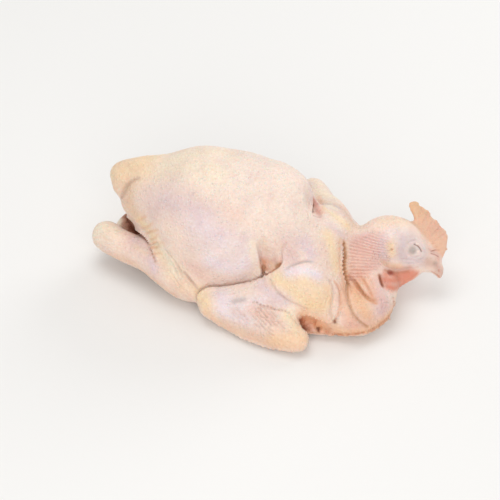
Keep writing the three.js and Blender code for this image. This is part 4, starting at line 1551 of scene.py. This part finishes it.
# %% How the surface takes the light
skin_nodes.put(skin_nodes.shader.inputs["Roughness"], ramp(blotch, 0.3, 0.7, to_low=0.42, to_high=0.55))
skin_nodes.shader.inputs["Subsurface Weight"].default_value = 0.25
skin_nodes.shader.inputs["Subsurface Radius"].default_value = (1.0, 0.4, 0.25)
skin_nodes.shader.inputs["Subsurface Scale"].default_value = 0.003
skin_nodes.shader.inputs["Specular IOR Level"].default_value = 0.4
skin_nodes.shader.inputs["Coat Weight"].default_value = 0.06
skin_nodes.shader.inputs["Coat Roughness"].default_value = 0.22
print("gave the skin its depth and its wet coat")

# %% Relief that is finer than the points
GRAIN_HEIGHT = 0.00035  # metres
FOLLICLE_HEIGHT = 0.0005

rough = skin_nodes.add("Bump", {"Height": grain, "Strength": 1.0, "Distance": GRAIN_HEIGHT})
goose = skin_nodes.add("Bump", {
    "Height": skin_nodes.times(pebble, ramp(follicle, low=0.5, high=0.05)),
    "Strength": 1.0,
    "Distance": FOLLICLE_HEIGHT,
    "Normal": rough.outputs["Normal"],
})
skin_nodes.put(skin_nodes.shader.inputs["Normal"], goose.outputs["Normal"])
skin.data.materials.append(skin_nodes.material)
print("made the skin's material of", len(skin_nodes.tree.nodes), "nodes")

# %% [markdown]
# ## Light and floor
#
# The bird is lit like a page of a cookery book, with hardly a shadow: a window above it, a wider
# light from the camera's side, a white wall that throws light back from behind, and a pale floor
# that lights the belly from below. Raw skin looks grey under hard light, because its colour comes
# from light that goes in and out again, and a hard light shows the wet surface instead.

# %% The studio
ROOM = 3.0


def soft_light(name, at_metres, size, watts):
    """A round white light that shines at the middle of the floor."""
    light = bpy.data.lights.new(name, "AREA")
    light.shape = "DISK"
    light.size = size
    light.energy = watts
    lamp = bpy.data.objects.new(name, light)
    bpy.context.scene.collection.objects.link(lamp)
    lamp.location = at_metres
    lamp.rotation_euler = Vector(at_metres).to_track_quat("Z", "Y").to_euler()


soft_light("window", (-0.25, 0.05, 1.45), size=1.1, watts=6.0)
soft_light("fill", (0.5, -1.5, 0.8), size=1.5, watts=11.5)
soft_light("wall", (0.6, 1.6, 1.0), size=1.2, watts=10)

world = bpy.data.worlds.new("white_walls")
world.use_nodes = True
world.node_tree.nodes["Background"].inputs["Color"].default_value = (1, 1, 1, 1)
world.node_tree.nodes["Background"].inputs["Strength"].default_value = 0.6
bpy.context.scene.world = world
bpy.context.scene.view_settings.view_transform = "Standard"

floor_mesh = bpy.data.meshes.new("floor")
corners = [(x * ROOM, y * ROOM, 0) for x, y in ((-1, -1), (1, -1), (1, 1), (-1, 1))]
floor_mesh.from_pydata(corners, [], [(0, 1, 2, 3)])
floor = bpy.data.objects.new("floor", floor_mesh)
bpy.context.scene.collection.objects.link(floor)
floor_nodes = Nodes("pale_floor")
floor_nodes.shader.inputs["Base Color"].default_value = (0.86, 0.85, 0.83, 1)
floor_nodes.shader.inputs["Roughness"].default_value = 0.7
floor.data.materials.append(floor_nodes.material)
print("lit the studio")

# %% [markdown]
# ## Hand over to the frame
#
# The skin rides on the one body that there is, and it stands for the plain solid, which stays
# behind it for collision.

# %% Ride, replace and finish
skin.data.polygons.foreach_set("use_smooth", [True] * len(skin.data.polygons))
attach(skin, "root")
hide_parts("chicken")
